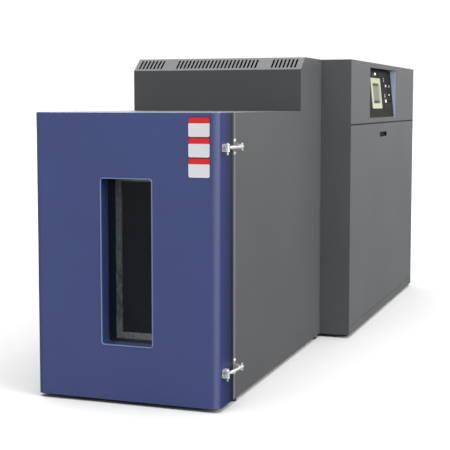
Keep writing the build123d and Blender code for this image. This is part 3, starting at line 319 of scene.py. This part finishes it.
@dataclass(frozen=True)
class ScreenPicture:
    """Plain operating picture on the touch screen: two dark bars and blank fields.

    Args:
        name: the material's plain name.
        low: lowest corner of the screen, in metres.
        high: highest corner of the screen, in metres.
    """

    name: str
    low: Point
    high: Point

    def build(self) -> bpy.types.Material:
        """Return the material, with its bars placed by height and length."""
        material = bpy.data.materials.new(self.name)
        material.use_nodes = True
        tree = material.node_tree
        tree.nodes.clear()
        place = add_node(tree, "ShaderNodeTexCoord").outputs["Object"]
        parts = add_node(tree, "ShaderNodeSeparateXYZ", links={"Vector": place})
        spans = {}
        for axis, label in ((1, "Y"), (2, "Z")):
            spans[label] = add_node(tree, "ShaderNodeMapRange",
                                    values={"From Min": self.low[axis], "From Max": self.high[axis]},
                                    links={"Value": parts.outputs[label]}).outputs[0]
        rows = add_node(tree, "ShaderNodeValToRGB", {"name": "rows"}, links={"Fac": spans["Z"]})
        ramp = rows.color_ramp
        ramp.interpolation = "CONSTANT"
        stops = ((0.0, "24271f"), (0.14, "6f7365"), (0.86, "2a2d26"))
        ramp.elements[0].position, ramp.elements[0].color = stops[0][0], linear(stops[0][1])
        ramp.elements[1].position, ramp.elements[1].color = stops[1][0], linear(stops[1][1])
        ramp.elements.new(stops[2][0]).color = linear(stops[2][1])
        strip = add_node(tree, "ShaderNodeMath", {"operation": "GREATER_THAN"}, {1: 0.84}, {0: spans["Y"]})
        colour = add_node(tree, "ShaderNodeMix", {"data_type": "RGBA"}, {7: linear("8d927f")},
                          {0: strip.outputs[0], 6: rows.outputs[0]})
        shader = add_node(tree, "ShaderNodeBsdfPrincipled",
                          values={"Roughness": 0.3, "Emission Strength": 0.03, "Specular IOR Level": 0.2},
                          links={"Base Color": colour.outputs[2], "Emission Color": colour.outputs[2]})
        add_node(tree, "ShaderNodeOutputMaterial", links={"Surface": shader.outputs[0]})
        return material


# Powder-coated steel in mid grey: fine orange-peel, soft satin highlight.
GREY_PAINT = Finish("grey_powder_coated_steel", "4b4d4f", 0.45, grain_mm=2.2, bump_mm=0.012,
                    tint=0.03, edge_mm=3.0)
# The cabinet's panels in the same grey, painted paler as painted light for the brighter light that the
# cabinet catches.
CABINET_PAINT = replace(GREY_PAINT, name="grey_powder_coated_steel_with_painted_light", colour="555759")
# The same steel in slate blue, as sprayed on the door.
BLUE_PAINT = Finish("blue_powder_coated_steel", "455182", 0.40, grain_mm=2.2, bump_mm=0.012,
                    tint=0.03, edge_mm=3.0, shine=0.35)
# The rolled edge of the window's opening: the door's blue painted paler, as a painted highlight for the
# light it catches.
TRIM_PAINT = Finish("blue_edge_with_painted_highlight", "7d88b4", 0.35, grain_mm=2.2, bump_mm=0.012, tint=0.03)
# Welded tube in dark primer: flat and slightly dusty.
FRAME_PAINT = Finish("dark_painted_tube", "2b2c2e", 0.55, grain_mm=6.0, tint=0.10)
# Folded sheet inside the control recess, painted black as painted shade under the recess's top.
RECESS_SHADE_PAINT = Finish("recess_sheet_in_painted_shade", "17181a", 0.40, grain_mm=3.0, tint=0.06)
# Austenitic steel with a level brushed grain: long streaks along the sheet.
BRUSHED_STEEL = Finish("brushed_stainless_steel", "cbccce", 0.33, 0.65, 1.2, 0.01, 0.05, 0.10,
                       (0.03, 1.0, 1.0))
# Embossed stainless strip around the inner pane: a bright band whose mottled sheen is painted into its
# colour as a strong tone drift.
BRIGHT_STEEL = Finish("embossed_stainless_strip_with_painted_sheen", "b7c4bb", 0.30, 0.35, 4.0, 0.05, 0.45, 0.10,
                      (1.0, 1.0, 0.2), drift_mm=9.0)
# Window jamb in a satin navy coat over steel: drawn lines run up it.
JAMB_STEEL = Finish("navy_coated_jamb", "293a61", 0.34, 0.0, 1.6, 0.008, 0.10, 0.08, (1.0, 0.04, 1.0))
# Bright chrome over castings: almost a mirror.
CHROME = Finish("chrome_plated_casting", "eeefea", 0.20, 0.6, 3.0, 0.004, 0.02, 0.05)
# Aluminium fins and tubes as delivered.
MILL_ALUMINIUM = Finish("mill_finish_aluminium", "b9bbbc", 0.45, 0.7, 3.0, 0.02, 0.06, 0.10)
# Drawn copper pipe, a little tarnished.
COPPER = Finish("drawn_copper_pipe", "b06a48", 0.34, 1.0, 9.0, 0.01, 0.18, 0.12)
# Zinc-plated mounting plate with its crystalline bloom.
ZINC_PLATE = Finish("zinc_plated_sheet", "a2a5a7", 0.42, 1.0, 22.0, 0.004, 0.10, 0.12)
# Baked enamel on the motors.
MOTOR_ENAMEL = Finish("baked_motor_enamel", "2f3640", 0.35, grain_mm=5.0, tint=0.06)
# Thick black enamel on the compressor shells.
BLACK_ENAMEL = Finish("black_stove_enamel", "121315", 0.22, grain_mm=12.0, bump_mm=0.03, coat=0.4)
# Extruded seal rubber: soft, no shine.
SEAL_RUBBER = Finish("extruded_seal_rubber", "1a1a1b", 0.75, grain_mm=1.5, bump_mm=0.03, tint=0.08)
# Cast silicone plug.
SILICONE = Finish("cast_silicone", "a9a9a6", 0.6, grain_mm=3.0, tint=0.05, ior=1.41)
# Fine-grained moulded ABS.
BLACK_PLASTIC = Finish("moulded_black_abs", "101112", 0.55, grain_mm=0.9, bump_mm=0.02, tint=0.05, shine=0.2)
# Polished acrylic front of the control plate: black with a clear gloss.
GLOSS_BLACK = Finish("polished_black_acrylic", "161613", 0.40, grain_mm=30.0, bump_mm=0.002,
                     tint=0.05, shine=0.05)
# Cream ABS bezel of the touch panel.
CREAM_PLASTIC = Finish("moulded_cream_abs", "b4b896", 0.42, grain_mm=0.9, bump_mm=0.015, tint=0.02)
# White polyethylene tank.
WHITE_PLASTIC = Finish("rotomoulded_polyethylene", "d2d1c9", 0.5, grain_mm=2.5, bump_mm=0.05, tint=0.04)
# Mineral wool slab: a matted, dull fibre face.
MINERAL_WOOL = Finish("mineral_wool_slab", "a08f5f", 0.95, grain_mm=2.0, bump_mm=0.8, tint=0.18)
# White enamelled aluminium of the blank plates, with a red head band on a dark backing.
WHITE_ENAMEL = Finish("white_enamelled_plate", "e4e6ea", 0.35, grain_mm=2.0, bump_mm=0.004, tint=0.02)
RED_ENAMEL = Finish("red_enamelled_band", "e0262c", 0.35, grain_mm=2.0, bump_mm=0.004, tint=0.03)
BACKING_FOIL = Finish("dark_backing_foil", "1e2236", 0.5, grain_mm=2.0, bump_mm=0.004, tint=0.05)
# Open-cell filter foam behind the louvres, coloured near black as painted shade inside the slots.
FILTER_FOAM = Finish("black_filter_foam_as_painted_shade", "020202", 0.95, grain_mm=3.0, bump_mm=1.0, tint=0.2, shine=0.0)
# Machined knob with a satin face.
SATIN_METAL = Finish("satin_turned_aluminium", "d8dadb", 0.28, 0.6, 1.0, 0.006, 0.03, 0.06)
# Float glass in front; the inner pane has a heat-reflecting coating, and its dark navy colour is also a
# painted reflection tint.
CLEAR_GLASS = Glass("float_glass_pane", "eef2f4", Zone("Y", -1.952, 0.002, "1b1f3a"))
LAMP_LENS = LitPlastic("opal_lamp_lens", "f3f4f2")


def dress(finish: Finish | Glass | LitPlastic | ScreenPicture, *nodes: str) -> None:
    """Give CAD nodes a finish, without touching their meshes.

    Args:
        finish: the finish to build.
        nodes: names of the nodes.
    """
    material = finish.build()
    for name in nodes:
        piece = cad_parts[name]
        if not piece.data.materials:
            piece.data.materials.append(material)
        for slot in piece.material_slots:
            slot.material = material


def finish_piece(shape: bmesh.types.BMesh, name: str, body: str,
                 finish: Finish | Glass | LitPlastic, smooth: bool = True) -> bpy.types.Object:
    """Turn a bmesh into a piece that rides on a body.

    Args:
        shape: the finished bmesh, which is freed.
        name: the piece's name.
        body: the body that it rides on.
        finish: the finish that it gets.
        smooth: whether faces shade smoothly up to sharp edges.

    Returns:
        The new object, at the origin.
    """
    bmesh.ops.remove_doubles(shape, verts=shape.verts, dist=1e-6)
    bmesh.ops.recalc_face_normals(shape, faces=shape.faces)
    for edge in shape.edges:
        edge.smooth = edge.calc_face_angle(3.0) < math.radians(32)
    for face in shape.faces:
        face.smooth = smooth
    mesh = bpy.data.meshes.new(name)
    shape.to_mesh(mesh)
    shape.free()
    mesh.materials.append(finish.build())
    piece = bpy.data.objects.new(name, mesh)
    bpy.context.scene.collection.objects.link(piece)
    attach(piece, body)
    log.info("%s: %d faces on %s", name, len(mesh.polygons), body)
    return piece


def facing(at: Point, outward: Point) -> Matrix:
    """Return the matrix that stands local +Z along outward, at a point.

    Args:
        at: the point, in metres.
        outward: the direction for local +Z.

    Returns:
        A four by four matrix.
    """
    turn = Vector(outward).to_track_quat("Z", "Y").to_matrix().to_4x4()
    return Matrix.Translation(at) @ turn


def add_box(shape: bmesh.types.BMesh, size: Point, place: Matrix,
            round_by: float = 0.0) -> list[bmesh.types.BMVert]:
    """Add a box with rounded edges to a bmesh.

    Args:
        shape: the bmesh to add to.
        size: full size in metres.
        place: where its middle goes.
        round_by: bevel width on all edges.

    Returns:
        The vertices that were added.
    """
    made = bmesh.ops.create_cube(shape, size=1.0)
    verts = made["verts"]
    bmesh.ops.scale(shape, vec=size, verts=verts)
    if round_by:
        edges = list({e for v in verts for e in v.link_edges})
        result = bmesh.ops.bevel(shape, geom=edges, offset=round_by, segments=3, profile=0.5,
                                 affect="EDGES", material=-1)
        verts = list({v for f in result["faces"] for v in f.verts} | {v for v in verts if v.is_valid})
    bmesh.ops.transform(shape, matrix=place, verts=verts)
    return verts


def add_plate(shape: bmesh.types.BMesh, size: Point, middle: Point, corner: float, head_only: bool) -> None:
    """Add a flat plate that stands in the XZ plane, with rounded corners.

    Args:
        shape: the bmesh to add to.
        size: full size in metres.
        middle: where its middle goes.
        corner: radius of the corners.
        head_only: whether only the two upper corners are rounded.
    """
    verts = bmesh.ops.create_cube(shape, size=1.0)["verts"]
    bmesh.ops.scale(shape, vec=size, verts=verts)
    across = {e for v in verts for e in v.link_edges if abs(e.verts[0].co.y - e.verts[1].co.y) > size[1] / 2}
    edges = [e for e in across if not head_only or e.verts[0].co.z > 0]
    result = bmesh.ops.bevel(shape, geom=edges, offset=corner, segments=5, profile=0.5,
                             affect="EDGES", material=-1)
    moved = {v for f in result["faces"] for v in f.verts} | {v for v in verts if v.is_valid}
    bmesh.ops.translate(shape, vec=middle, verts=list(moved))


def add_screw(shape: bmesh.types.BMesh, radius: float, place: Matrix) -> None:
    """Add a pan-head screw with a cross slot, standing on the local XY plane.

    Args:
        shape: the bmesh to add to.
        radius: head radius in metres.
        place: where the middle of its seat goes.
    """
    before = set(shape.verts)
    made = bmesh.ops.create_cone(shape, cap_ends=True, segments=20, radius1=radius, radius2=radius * 0.8,
                                 depth=radius * 0.6)
    bmesh.ops.translate(shape, vec=(0, 0, radius * 0.3), verts=made["verts"])
    top = max(made["verts"], key=lambda v: v.co.z).co.z
    level = [f for f in shape.faces if all(abs(v.co.z - top) < 1e-7 for v in f.verts)]
    cap = [f for f in level if f.verts[0] not in before]
    bmesh.ops.inset_region(shape, faces=cap, thickness=radius * 0.22, depth=radius * 0.12)
    for turn in (0.0, math.pi / 2):
        size = (radius * 1.05, radius * 0.2, radius * 0.06)
        add_box(shape, size, Matrix.Rotation(turn, 4, "Z") @ Matrix.Translation((0, 0, radius * 0.72)))
    new = [v for v in shape.verts if v not in before]
    bmesh.ops.transform(shape, matrix=place, verts=new)


def screw_set(name: str, body: str, finish: Finish, radius: float,
              places: list[Point], outward: Point) -> bpy.types.Object:
    """Build one piece that holds a set of like screws.

    Args:
        name: the piece's name.
        body: the body that it rides on.
        finish: finish of the heads.
        radius: head radius in metres.
        places: seats of the heads.
        outward: the way that the heads face.

    Returns:
        The new object.
    """
    shape = bmesh.new()
    for place in places:
        add_screw(shape, radius, facing(place, outward))
    return finish_piece(shape, name, body, finish)


@dataclass
class Door:
    """The insulated door: outer pan, window and blank plates.

    Args:
        plate_size: width and height of a blank plate.
        plate_corner: radius of its corners.
        band_share: share of its height that the red head band takes.
        rim: how far the dark backing shows around it.
        plate_thickness: thickness of a blank plate.
        plate_x: middle of the plates.
        plate_heights: middles of the three plates.
        jamb_lap: how far the jamb reaches behind the pan around the window's opening.
        opening_corner: radius of its corners.
        trim: thickness of the rolled edge around it.
        bend: where the painted highlight on the pan's rounded edge begins, from its side, and over what
            length it fades in.
        side: where painted shade darkens the pan towards the side wall, and over what length.
        wall: where deeper painted shade begins on the side wall, from the door's face, and over what length.
        lip: width of the strip at the pan's back that is painted dark, for the door gap's shade.
    """

    plate_size: tuple[float, float] = (0.110, 0.0935)
    plate_corner: float = 0.008
    band_share: float = 0.30
    rim: float = 0.0022
    plate_thickness: float = 0.0012
    plate_x: float = 0.4195
    plate_heights: tuple[float, ...] = (1.4055, 1.3065, 1.2075)
    jamb_lap: float = 0.014
    opening_corner: float = 0.018
    trim: float = 0.005
    bend: tuple[float, float] = (0.042, 0.014)
    side: tuple[float, float] = (0.018, 0.017)
    wall: tuple[float, float] = (0.055, 0.110)
    lip: float = 0.014

    def build(self) -> None:
        """Dress the door's nodes and add its plates."""
        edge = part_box("door_shell")[1].x
        # Painted light on the pan: a painted highlight on the rounded edge, painted shade on the side wall,
        # deepening further back, and painted shade in the door gap.
        bend = Zone("X", edge - self.bend[0], self.bend[1], "525b80")
        side = Zone("X", edge - self.side[0], self.side[1], "262e5a")
        wall = Zone("Y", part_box("door_shell")[0].y + self.wall[0], self.wall[1], "171c3c")
        gap = Zone("Y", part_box("door_shell")[1].y - self.lip, self.lip / 4, "07080a")
        dress(replace(BLUE_PAINT, zones=(bend, side, wall, gap)), "door_shell")
        dress(MINERAL_WOOL, "door_core")
        dress(BRUSHED_STEEL, "door_inner_panel")
        dress(SEAL_RUBBER, "door_gasket")
        dress(JAMB_STEEL, "window_jamb")
        dress(CLEAR_GLASS, "window_panes")
        dress(BLACK_PLASTIC, "window_spacer")
        foot, head = (corner.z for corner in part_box("window_inner_frame"))
        # Painted highlights: bright glints near the top and the foot of the inner frame.
        glints = (Zone("Z", head - 0.55, 0.45, "f2f8f2"), Zone("Z", foot + 0.13, -0.06, "fbfff6"))
        dress(replace(BRIGHT_STEEL, zones=glints), "window_inner_frame")
        self.blank_plates()
        self.window_trim()

    def blank_plates(self) -> None:
        """Add the three blank plates in the upper corner of the door's face."""
        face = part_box("door_shell")[0].y
        wide, high = self.plate_size
        thick = self.plate_thickness
        band = high * self.band_share
        rim = 2 * self.rim
        layers = (("plate_backings", BACKING_FOIL, wide + rim, high + rim, 0.0, 0.5 * thick, False),
                  ("blank_plates", WHITE_ENAMEL, wide, high, 0.0, thick, False),
                  ("plate_bands", RED_ENAMEL, wide, band, (high - band) / 2, 1.2 * thick, True))
        for name, finish, across, tall, lift, proud, head in layers:
            shape = bmesh.new()
            for height in self.plate_heights:
                middle = (self.plate_x, face - proud / 2, height + lift)
                add_plate(shape, (across, proud, tall), middle, self.plate_corner, head)
            finish_piece(shape, name, "door", finish)

    def window_trim(self) -> None:
        """Add the thin rolled edge around the window's opening, painted pale as a painted highlight."""
        low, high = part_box("window_jamb")
        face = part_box("door_shell")[0].y
        shape = bmesh.new()
        lap = 2 * self.jamb_lap
        size = (high.x - low.x - lap, self.trim, high.z - low.z - lap)
        middle = ((low.x + high.x) / 2, face, (low.z + high.z) / 2)
        add_plate(shape, size, middle, self.opening_corner, False)
        caps = [f for f in shape.faces if abs(f.normal.y) > 0.9]
        bmesh.ops.delete(shape, geom=caps, context="FACES")
        walls = shape.faces[:]
        bmesh.ops.recalc_face_normals(shape, faces=walls)
        bmesh.ops.solidify(shape, geom=walls, thickness=self.trim)
        finish_piece(shape, "window_trim", "door", TRIM_PAINT)


@dataclass
class Hardware:
    """Hinges and swing-bolt latches with their screws.

    Args:
        screw_radius: head radius of the fixing screws.
        eye_radius: radius of a swing bolt's eye around its pin.
        sleeve: where a bolt's sleeve starts and ends, along the bolt from its pin.
        sleeve_radii: its radius at the pin's end and at the nut's end.
        collar: radius and length of the collar at the sleeve's far end.
    """

    screw_radius: float = 0.0045
    eye_radius: float = 0.012
    sleeve: tuple[float, float] = (0.045, 0.147)
    sleeve_radii: tuple[float, float] = (0.0095, 0.0075)
    collar: tuple[float, float] = (0.0135, 0.011)

    def build(self) -> None:
        """Dress the chrome nodes and add the screws."""
        dress(CHROME, "hinge_body_leaves", "hinge_door_leaves", "hinge_pins", "latch_clevises",
              "latch_keepers", "upper_swing_bolt", "upper_wing_nut", "lower_swing_bolt", "lower_wing_nut")
        self.keeper_screws()
        for level in ("upper", "lower"):
            self.bolt_sleeve(level)

    def bolt_sleeve(self, level: str) -> None:
        """Add the tapered sleeve and the hexagonal collar around a swing bolt.

        Args:
            level: which latch, upper or lower.
        """
        low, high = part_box(f"{level}_swing_bolt")
        nut_low, nut_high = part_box(f"{level}_wing_nut")
        pin = Vector((low.x + self.eye_radius, low.y + self.eye_radius, (low.z + high.z) / 2))
        axis = ((nut_low + nut_high) / 2 - pin).normalized()
        start, end = self.sleeve
        shape = bmesh.new()
        stand = facing(pin + axis * (start + end) / 2, axis)
        bmesh.ops.create_cone(shape, cap_ends=True, segments=24, radius1=self.sleeve_radii[0],
                              radius2=self.sleeve_radii[1], depth=end - start, matrix=stand)
        collar = facing(pin + axis * (end - self.collar[1] / 2), axis)
        bmesh.ops.create_cone(shape, cap_ends=True, segments=6, radius1=self.collar[0],
                              radius2=self.collar[0], depth=self.collar[1], matrix=collar)
        caps = [f for f in shape.faces if len(f.verts) in (6, 24)]
        rims = list({e for f in caps for e in f.edges})
        bmesh.ops.bevel(shape, geom=rims, offset=self.collar[1] / 8, segments=2, profile=0.5, affect="EDGES",
                        material=-1)
        finish_piece(shape, f"{level}_bolt_sleeve", f"{level}_bolt", CHROME)

    def keeper_screws(self) -> None:
        """Add two screws above and two below each keeper's fork."""
        low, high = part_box("latch_keepers")
        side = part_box("body_side_right")[1].x + 0.004
        places = []
        for middle in (low.z + 0.040, high.z - 0.040):
            for drop in (-0.032, 0.032):
                places.append((side, (low.y + high.y) / 2, middle + drop))
        screw_set("keeper_screws", "chamber", CHROME, self.screw_radius, places,
                  Side.RIGHT.value)


@dataclass
class BodyShell:
    """Grey panels of the body and hood, and what shows through the louvres.

    Args:
        hem: how far back the side panel is painted paler, for the light at its front edge.
        gap: width of the strip that is painted dark there, for the door gap's shade.
        foam_gap: distance of the filter foam behind the leaning face.
    """

    hem: float = 0.042
    gap: float = 0.014
    foam_gap: float = 0.012

    def build(self) -> None:
        """Dress the body's nodes and add the filter foam."""
        dress(GREY_PAINT, "body_side_left", "body_top", "hood_cover", "front_frame")
        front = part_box("body_side_right")[0].y
        # Painted highlight on the side panel's front edge, and painted shade in the door gap at its very
        # front.
        hem = Zone("Y", front + self.hem, -self.hem / 3, "6b6d6f")
        gap = Zone("Y", front + self.gap, -self.gap / 4, "07080a")
        dress(replace(GREY_PAINT, name="grey_steel_with_painted_edge_highlight_and_gap_shade", zones=(hem, gap)), "body_side_right")
        dress(MINERAL_WOOL, "wall_insulation")
        dress(BRUSHED_STEEL, "cable_port")
        dress(SILICONE, "cable_port_plug")
        self.filter_foam()

    def filter_foam(self) -> None:
        """Add the foam mat behind the leaning face of the hood, coloured near black as painted shade in the
        slots.
        """
        low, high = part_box("hood_cover")
        run, drop = 0.095, 0.075
        slope = math.hypot(run, drop)
        across = Vector((0.0, -drop / slope, run / slope))
        middle = Vector(((low.x + high.x) / 2, low.y + run / 2, high.z - drop / 2)) - across * self.foam_gap
        shape = bmesh.new()
        size = (high.x - low.x - 0.01, slope - 0.022, 0.006)
        turn = Matrix.Rotation(math.atan2(drop, run), 4, "X")
        add_box(shape, size, Matrix.Translation(middle) @ turn, 0.001)
        finish_piece(shape, "filter_foam", "chamber", FILTER_FOAM)


@dataclass
class WorkSpace:
    """What stands inside the insulated body."""

    def build(self) -> None:
        """Dress the work space's nodes."""
        dress(BRUSHED_STEEL, "chamber_liner", "air_baffle", "heater_bank", "circulation_fan")
        dress(MILL_ALUMINIUM, "evaporator_coil")
        dress(MOTOR_ENAMEL, "circulation_motor")


@dataclass
class Cabinet:
    """Panels, frame and feet of the machine cabinet.

    Args:
        screw_radius: head radius of the panel screws.
        inset: distance of a screw from a panel's edge.
        seam: height of the strip at the fascia's foot that is painted dark, for the seam's shade.
    """

    screw_radius: float = 0.006
    inset: float = 0.025
    seam: float = 0.008

    def build(self) -> None:
        """Dress the cabinet's nodes and add the panel screws."""
        dress(CABINET_PAINT, "cabinet_front_strips", "cabinet_top", "cabinet_left_panel", "rear_panel",
              "access_panel", "cabinet_plinth")
        # Painted shade: a dark strip at the fascia's foot for the seam's shade, on the cabinet's grey
        # painted paler for light.
        seam = Zone("Z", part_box("control_fascia")[0].z + self.seam, -self.seam / 4, "07080a")
        dress(replace(CABINET_PAINT, name="grey_panel_with_painted_light_and_seam_shade", zones=(seam,)), "control_fascia")
        dress(FRAME_PAINT, "base_frame", "cabinet_frame")
        dress(SEAL_RUBBER, "levelling_feet")
        dress(BLACK_PLASTIC, "panel_pull", "power_inlet")
        dress(BRUSHED_STEEL, "panel_catches")
        self.panel_screws()

    def panel_screws(self) -> None:
        """Add the screws that hold the left and rear panels."""
        for node, side, axis in (("cabinet_left_panel", Side.LEFT, 1), ("rear_panel", Side.REAR, 0)):
            low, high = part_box(node)
            places = []
            for height in (low.z + self.inset, (low.z + high.z) / 2, high.z - self.inset):
                for share in (0.0, 0.5, 1.0):
                    place = [low.x, high.y, height]
                    place[axis] = low[axis] + self.inset + share * (high[axis] - low[axis] - 2 * self.inset)
                    places.append(tuple(place))
            screw_set(f"{node}_screws", "chamber", ZINC_PLATE, self.screw_radius,
                      places, side.value)


@dataclass
class ControlRecess:
    """The recess with its leaning plate, touch panel, lamps and switches.

    Args:
        end_wall: length at the tray's far end that is painted pale, for the light it catches.
        sill: height of its lower strip that is painted pale in the same way.
    """

    end_wall: float = 0.05
    sill: float = 0.012

    def build(self) -> None:
        """Dress the recess's nodes."""
        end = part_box("recess_tray")[1].y
        # The tray is black as painted shade under the recess's top, with painted light on its far end wall
        # and sill.
        wall = Zone("Y", end - self.end_wall, 0.004, "c3cce4")
        sill = Zone("Z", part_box("recess_tray")[0].z + self.sill, -self.sill / 3, "8b94aa")
        dress(replace(RECESS_SHADE_PAINT, zones=(sill, wall)), "recess_tray")
        dress(GLOSS_BLACK, "control_plate")
        dress(CREAM_PLASTIC, "touch_bezel")
        low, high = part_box("touch_screen")
        dress(ScreenPicture("touch_screen_picture", tuple(low), tuple(high)), "touch_screen")
        dress(LAMP_LENS, "indicator_lamps", "light_button", "mute_button")
        dress(SATIN_METAL, "power_knob", "start_button")


@dataclass
class MachineRoom:
    """Refrigeration and electrical pieces inside the cabinet."""

    def build(self) -> None:
        """Dress the machine room's nodes."""
        dress(BLACK_ENAMEL, "compressors")
        dress(MILL_ALUMINIUM, "condenser_coil")
        dress(MOTOR_ENAMEL, "condenser_motor")
        dress(BLACK_PLASTIC, "condenser_fan")
        dress(COPPER, "refrigerant_pipes")
        dress(WHITE_PLASTIC, "humidifier_tank")
        dress(ZINC_PLATE, "electrical_plate")


@dataclass
class Studio:
    """Pale floor, soft lights and the camera.

    Args:
        floor_half: half width of the floor.
        camera_at: the camera's place.
        yaw: turn of the view to the left, in degrees.
        pitch: how far the view looks down, in degrees.
        lens: focal length in millimetres on a 36 mm sensor.
        shift: vertical shift of the frame.
        floor_bounce: how pale the floor is to the light that it sends back.
        floor_seen: how pale it looks to the camera.
        floor_mirrored: how pale it looks in gloss and chrome.
        world_fill: light from the surround.
        world_mirrored: brightness of the surround in gloss and chrome.
        world_seen: what is added to it for the camera.
    """

    floor_half: float = 60.0
    camera_at: Point = (2.329, -7.123, 1.519)
    yaw: float = 19.47
    pitch: float = 4.96
    lens: float = 88.8
    shift: float = -0.0556
    floor_bounce: str = "a0a0a0"
    floor_seen: str = "cfcfcf"
    floor_mirrored: str = "484848"
    world_fill: float = 0.2
    world_mirrored: float = 0.6
    world_seen: float = 0.85

    def build(self) -> None:
        """Set up floor, world, lights and camera."""
        self.floor()
        self.world()
        self.softbox("overhead", (0.0, 0.10, -1.0), 1.32, 70.0)
        self.softbox("key_from_right", (-0.93, 0.12, -0.35), 1.20, 50.0)
        self.softbox("rear_fill", (0.75, -0.80, -0.45), 0.40, 60.0)
        self.camera()
        bpy.context.scene.view_settings.view_transform = "Standard"

    def floor(self) -> None:
        """Add the pale floor."""
        shape = bmesh.new()
        bmesh.ops.create_grid(shape, x_segments=1, y_segments=1, size=self.floor_half)
        mesh = bpy.data.meshes.new("studio_floor")
        shape.to_mesh(mesh)
        shape.free()
        mesh.materials.append(self.floor_paint())
        floor = bpy.data.objects.new("studio_floor", mesh)
        bpy.context.scene.collection.objects.link(floor)

    def floor_paint(self) -> bpy.types.Material:
        """Return the floor's paint: white to the eye, with a duller bounce and reflection."""
        material = bpy.data.materials.new("matt_white_floor_paint")
        material.use_nodes = True
        tree = material.node_tree
        tree.nodes.clear()
        path = add_node(tree, "ShaderNodeLightPath")
        seen = add_node(tree, "ShaderNodeMix", {"data_type": "RGBA"},
                        {6: linear(self.floor_bounce), 7: linear(self.floor_seen)},
                        {0: path.outputs["Is Camera Ray"]})
        mirrored = add_node(tree, "ShaderNodeMix", {"data_type": "RGBA"}, {7: linear(self.floor_mirrored)},
                            {0: path.outputs["Is Glossy Ray"], 6: seen.outputs[2]})
        shader = add_node(tree, "ShaderNodeBsdfDiffuse", links={"Color": mirrored.outputs[2]})
        add_node(tree, "ShaderNodeOutputMaterial", links={"Surface": shader.outputs[0]})
        return material

    def world(self) -> None:
        """Light everything evenly from a pale surround."""
        world = bpy.data.worlds.new("pale_surround")
        world.use_nodes = True
        tree = world.node_tree
        tree.nodes.clear()
        path = add_node(tree, "ShaderNodeLightPath")
        glossy = add_node(tree, "ShaderNodeMath", {"operation": "MULTIPLY_ADD"},
                          {1: self.world_mirrored - self.world_fill, 2: self.world_fill},
                          {0: path.outputs["Is Glossy Ray"]})
        level = add_node(tree, "ShaderNodeMath", {"operation": "MULTIPLY_ADD"}, {1: self.world_seen},
                         {0: path.outputs["Is Camera Ray"], 2: glossy.outputs[0]})
        light = add_node(tree, "ShaderNodeBackground", values={"Color": linear("ffffff")},
                         links={"Strength": level.outputs[0]})
        add_node(tree, "ShaderNodeOutputWorld", links={"Surface": light.outputs[0]})
        bpy.context.scene.world = world

    def softbox(self, name: str, beam: Point, level: float, spread: float) -> None:
        """Add one broad soft light that is even over the whole object.

        Args:
            name: the light's name.
            beam: the direction in which the light travels.
            level: light on a face that looks at it, where one makes white look white.
            spread: how wide the light looks from the object, in degrees.
        """
        data = bpy.data.lights.new(name, "SUN")
        data.energy = level * math.pi
        data.angle = math.radians(spread)
        light = bpy.data.objects.new(name, data)
        light.rotation_euler = Vector(beam).to_track_quat("-Z", "Y").to_euler()
        bpy.context.scene.collection.objects.link(light)

    def camera(self) -> None:
        """Set the camera at the photograph's viewing angle."""
        data = bpy.data.cameras.new("view")
        data.sensor_width = 36.0
        data.lens = self.lens
        data.shift_y = self.shift
        data.clip_end = 200.0
        camera = bpy.data.objects.new("view", data)
        camera.location = self.camera_at
        camera.rotation_euler = (math.radians(90 - self.pitch), 0.0, math.radians(self.yaw))
        bpy.context.scene.collection.objects.link(camera)
        bpy.context.scene.camera = camera


def main() -> None:
    """Build every sub-assembly in order, then the studio."""
    logging.basicConfig(level=logging.INFO, format="%(name)s: %(message)s")
    for part in (Studio(), Door(), Hardware(), BodyShell(), WorkSpace(), Cabinet(), ControlRecess(),
                 MachineRoom()):
        part.build()
        log.info("%s is done", type(part).__name__)


if __name__ == "__main__":
    main()
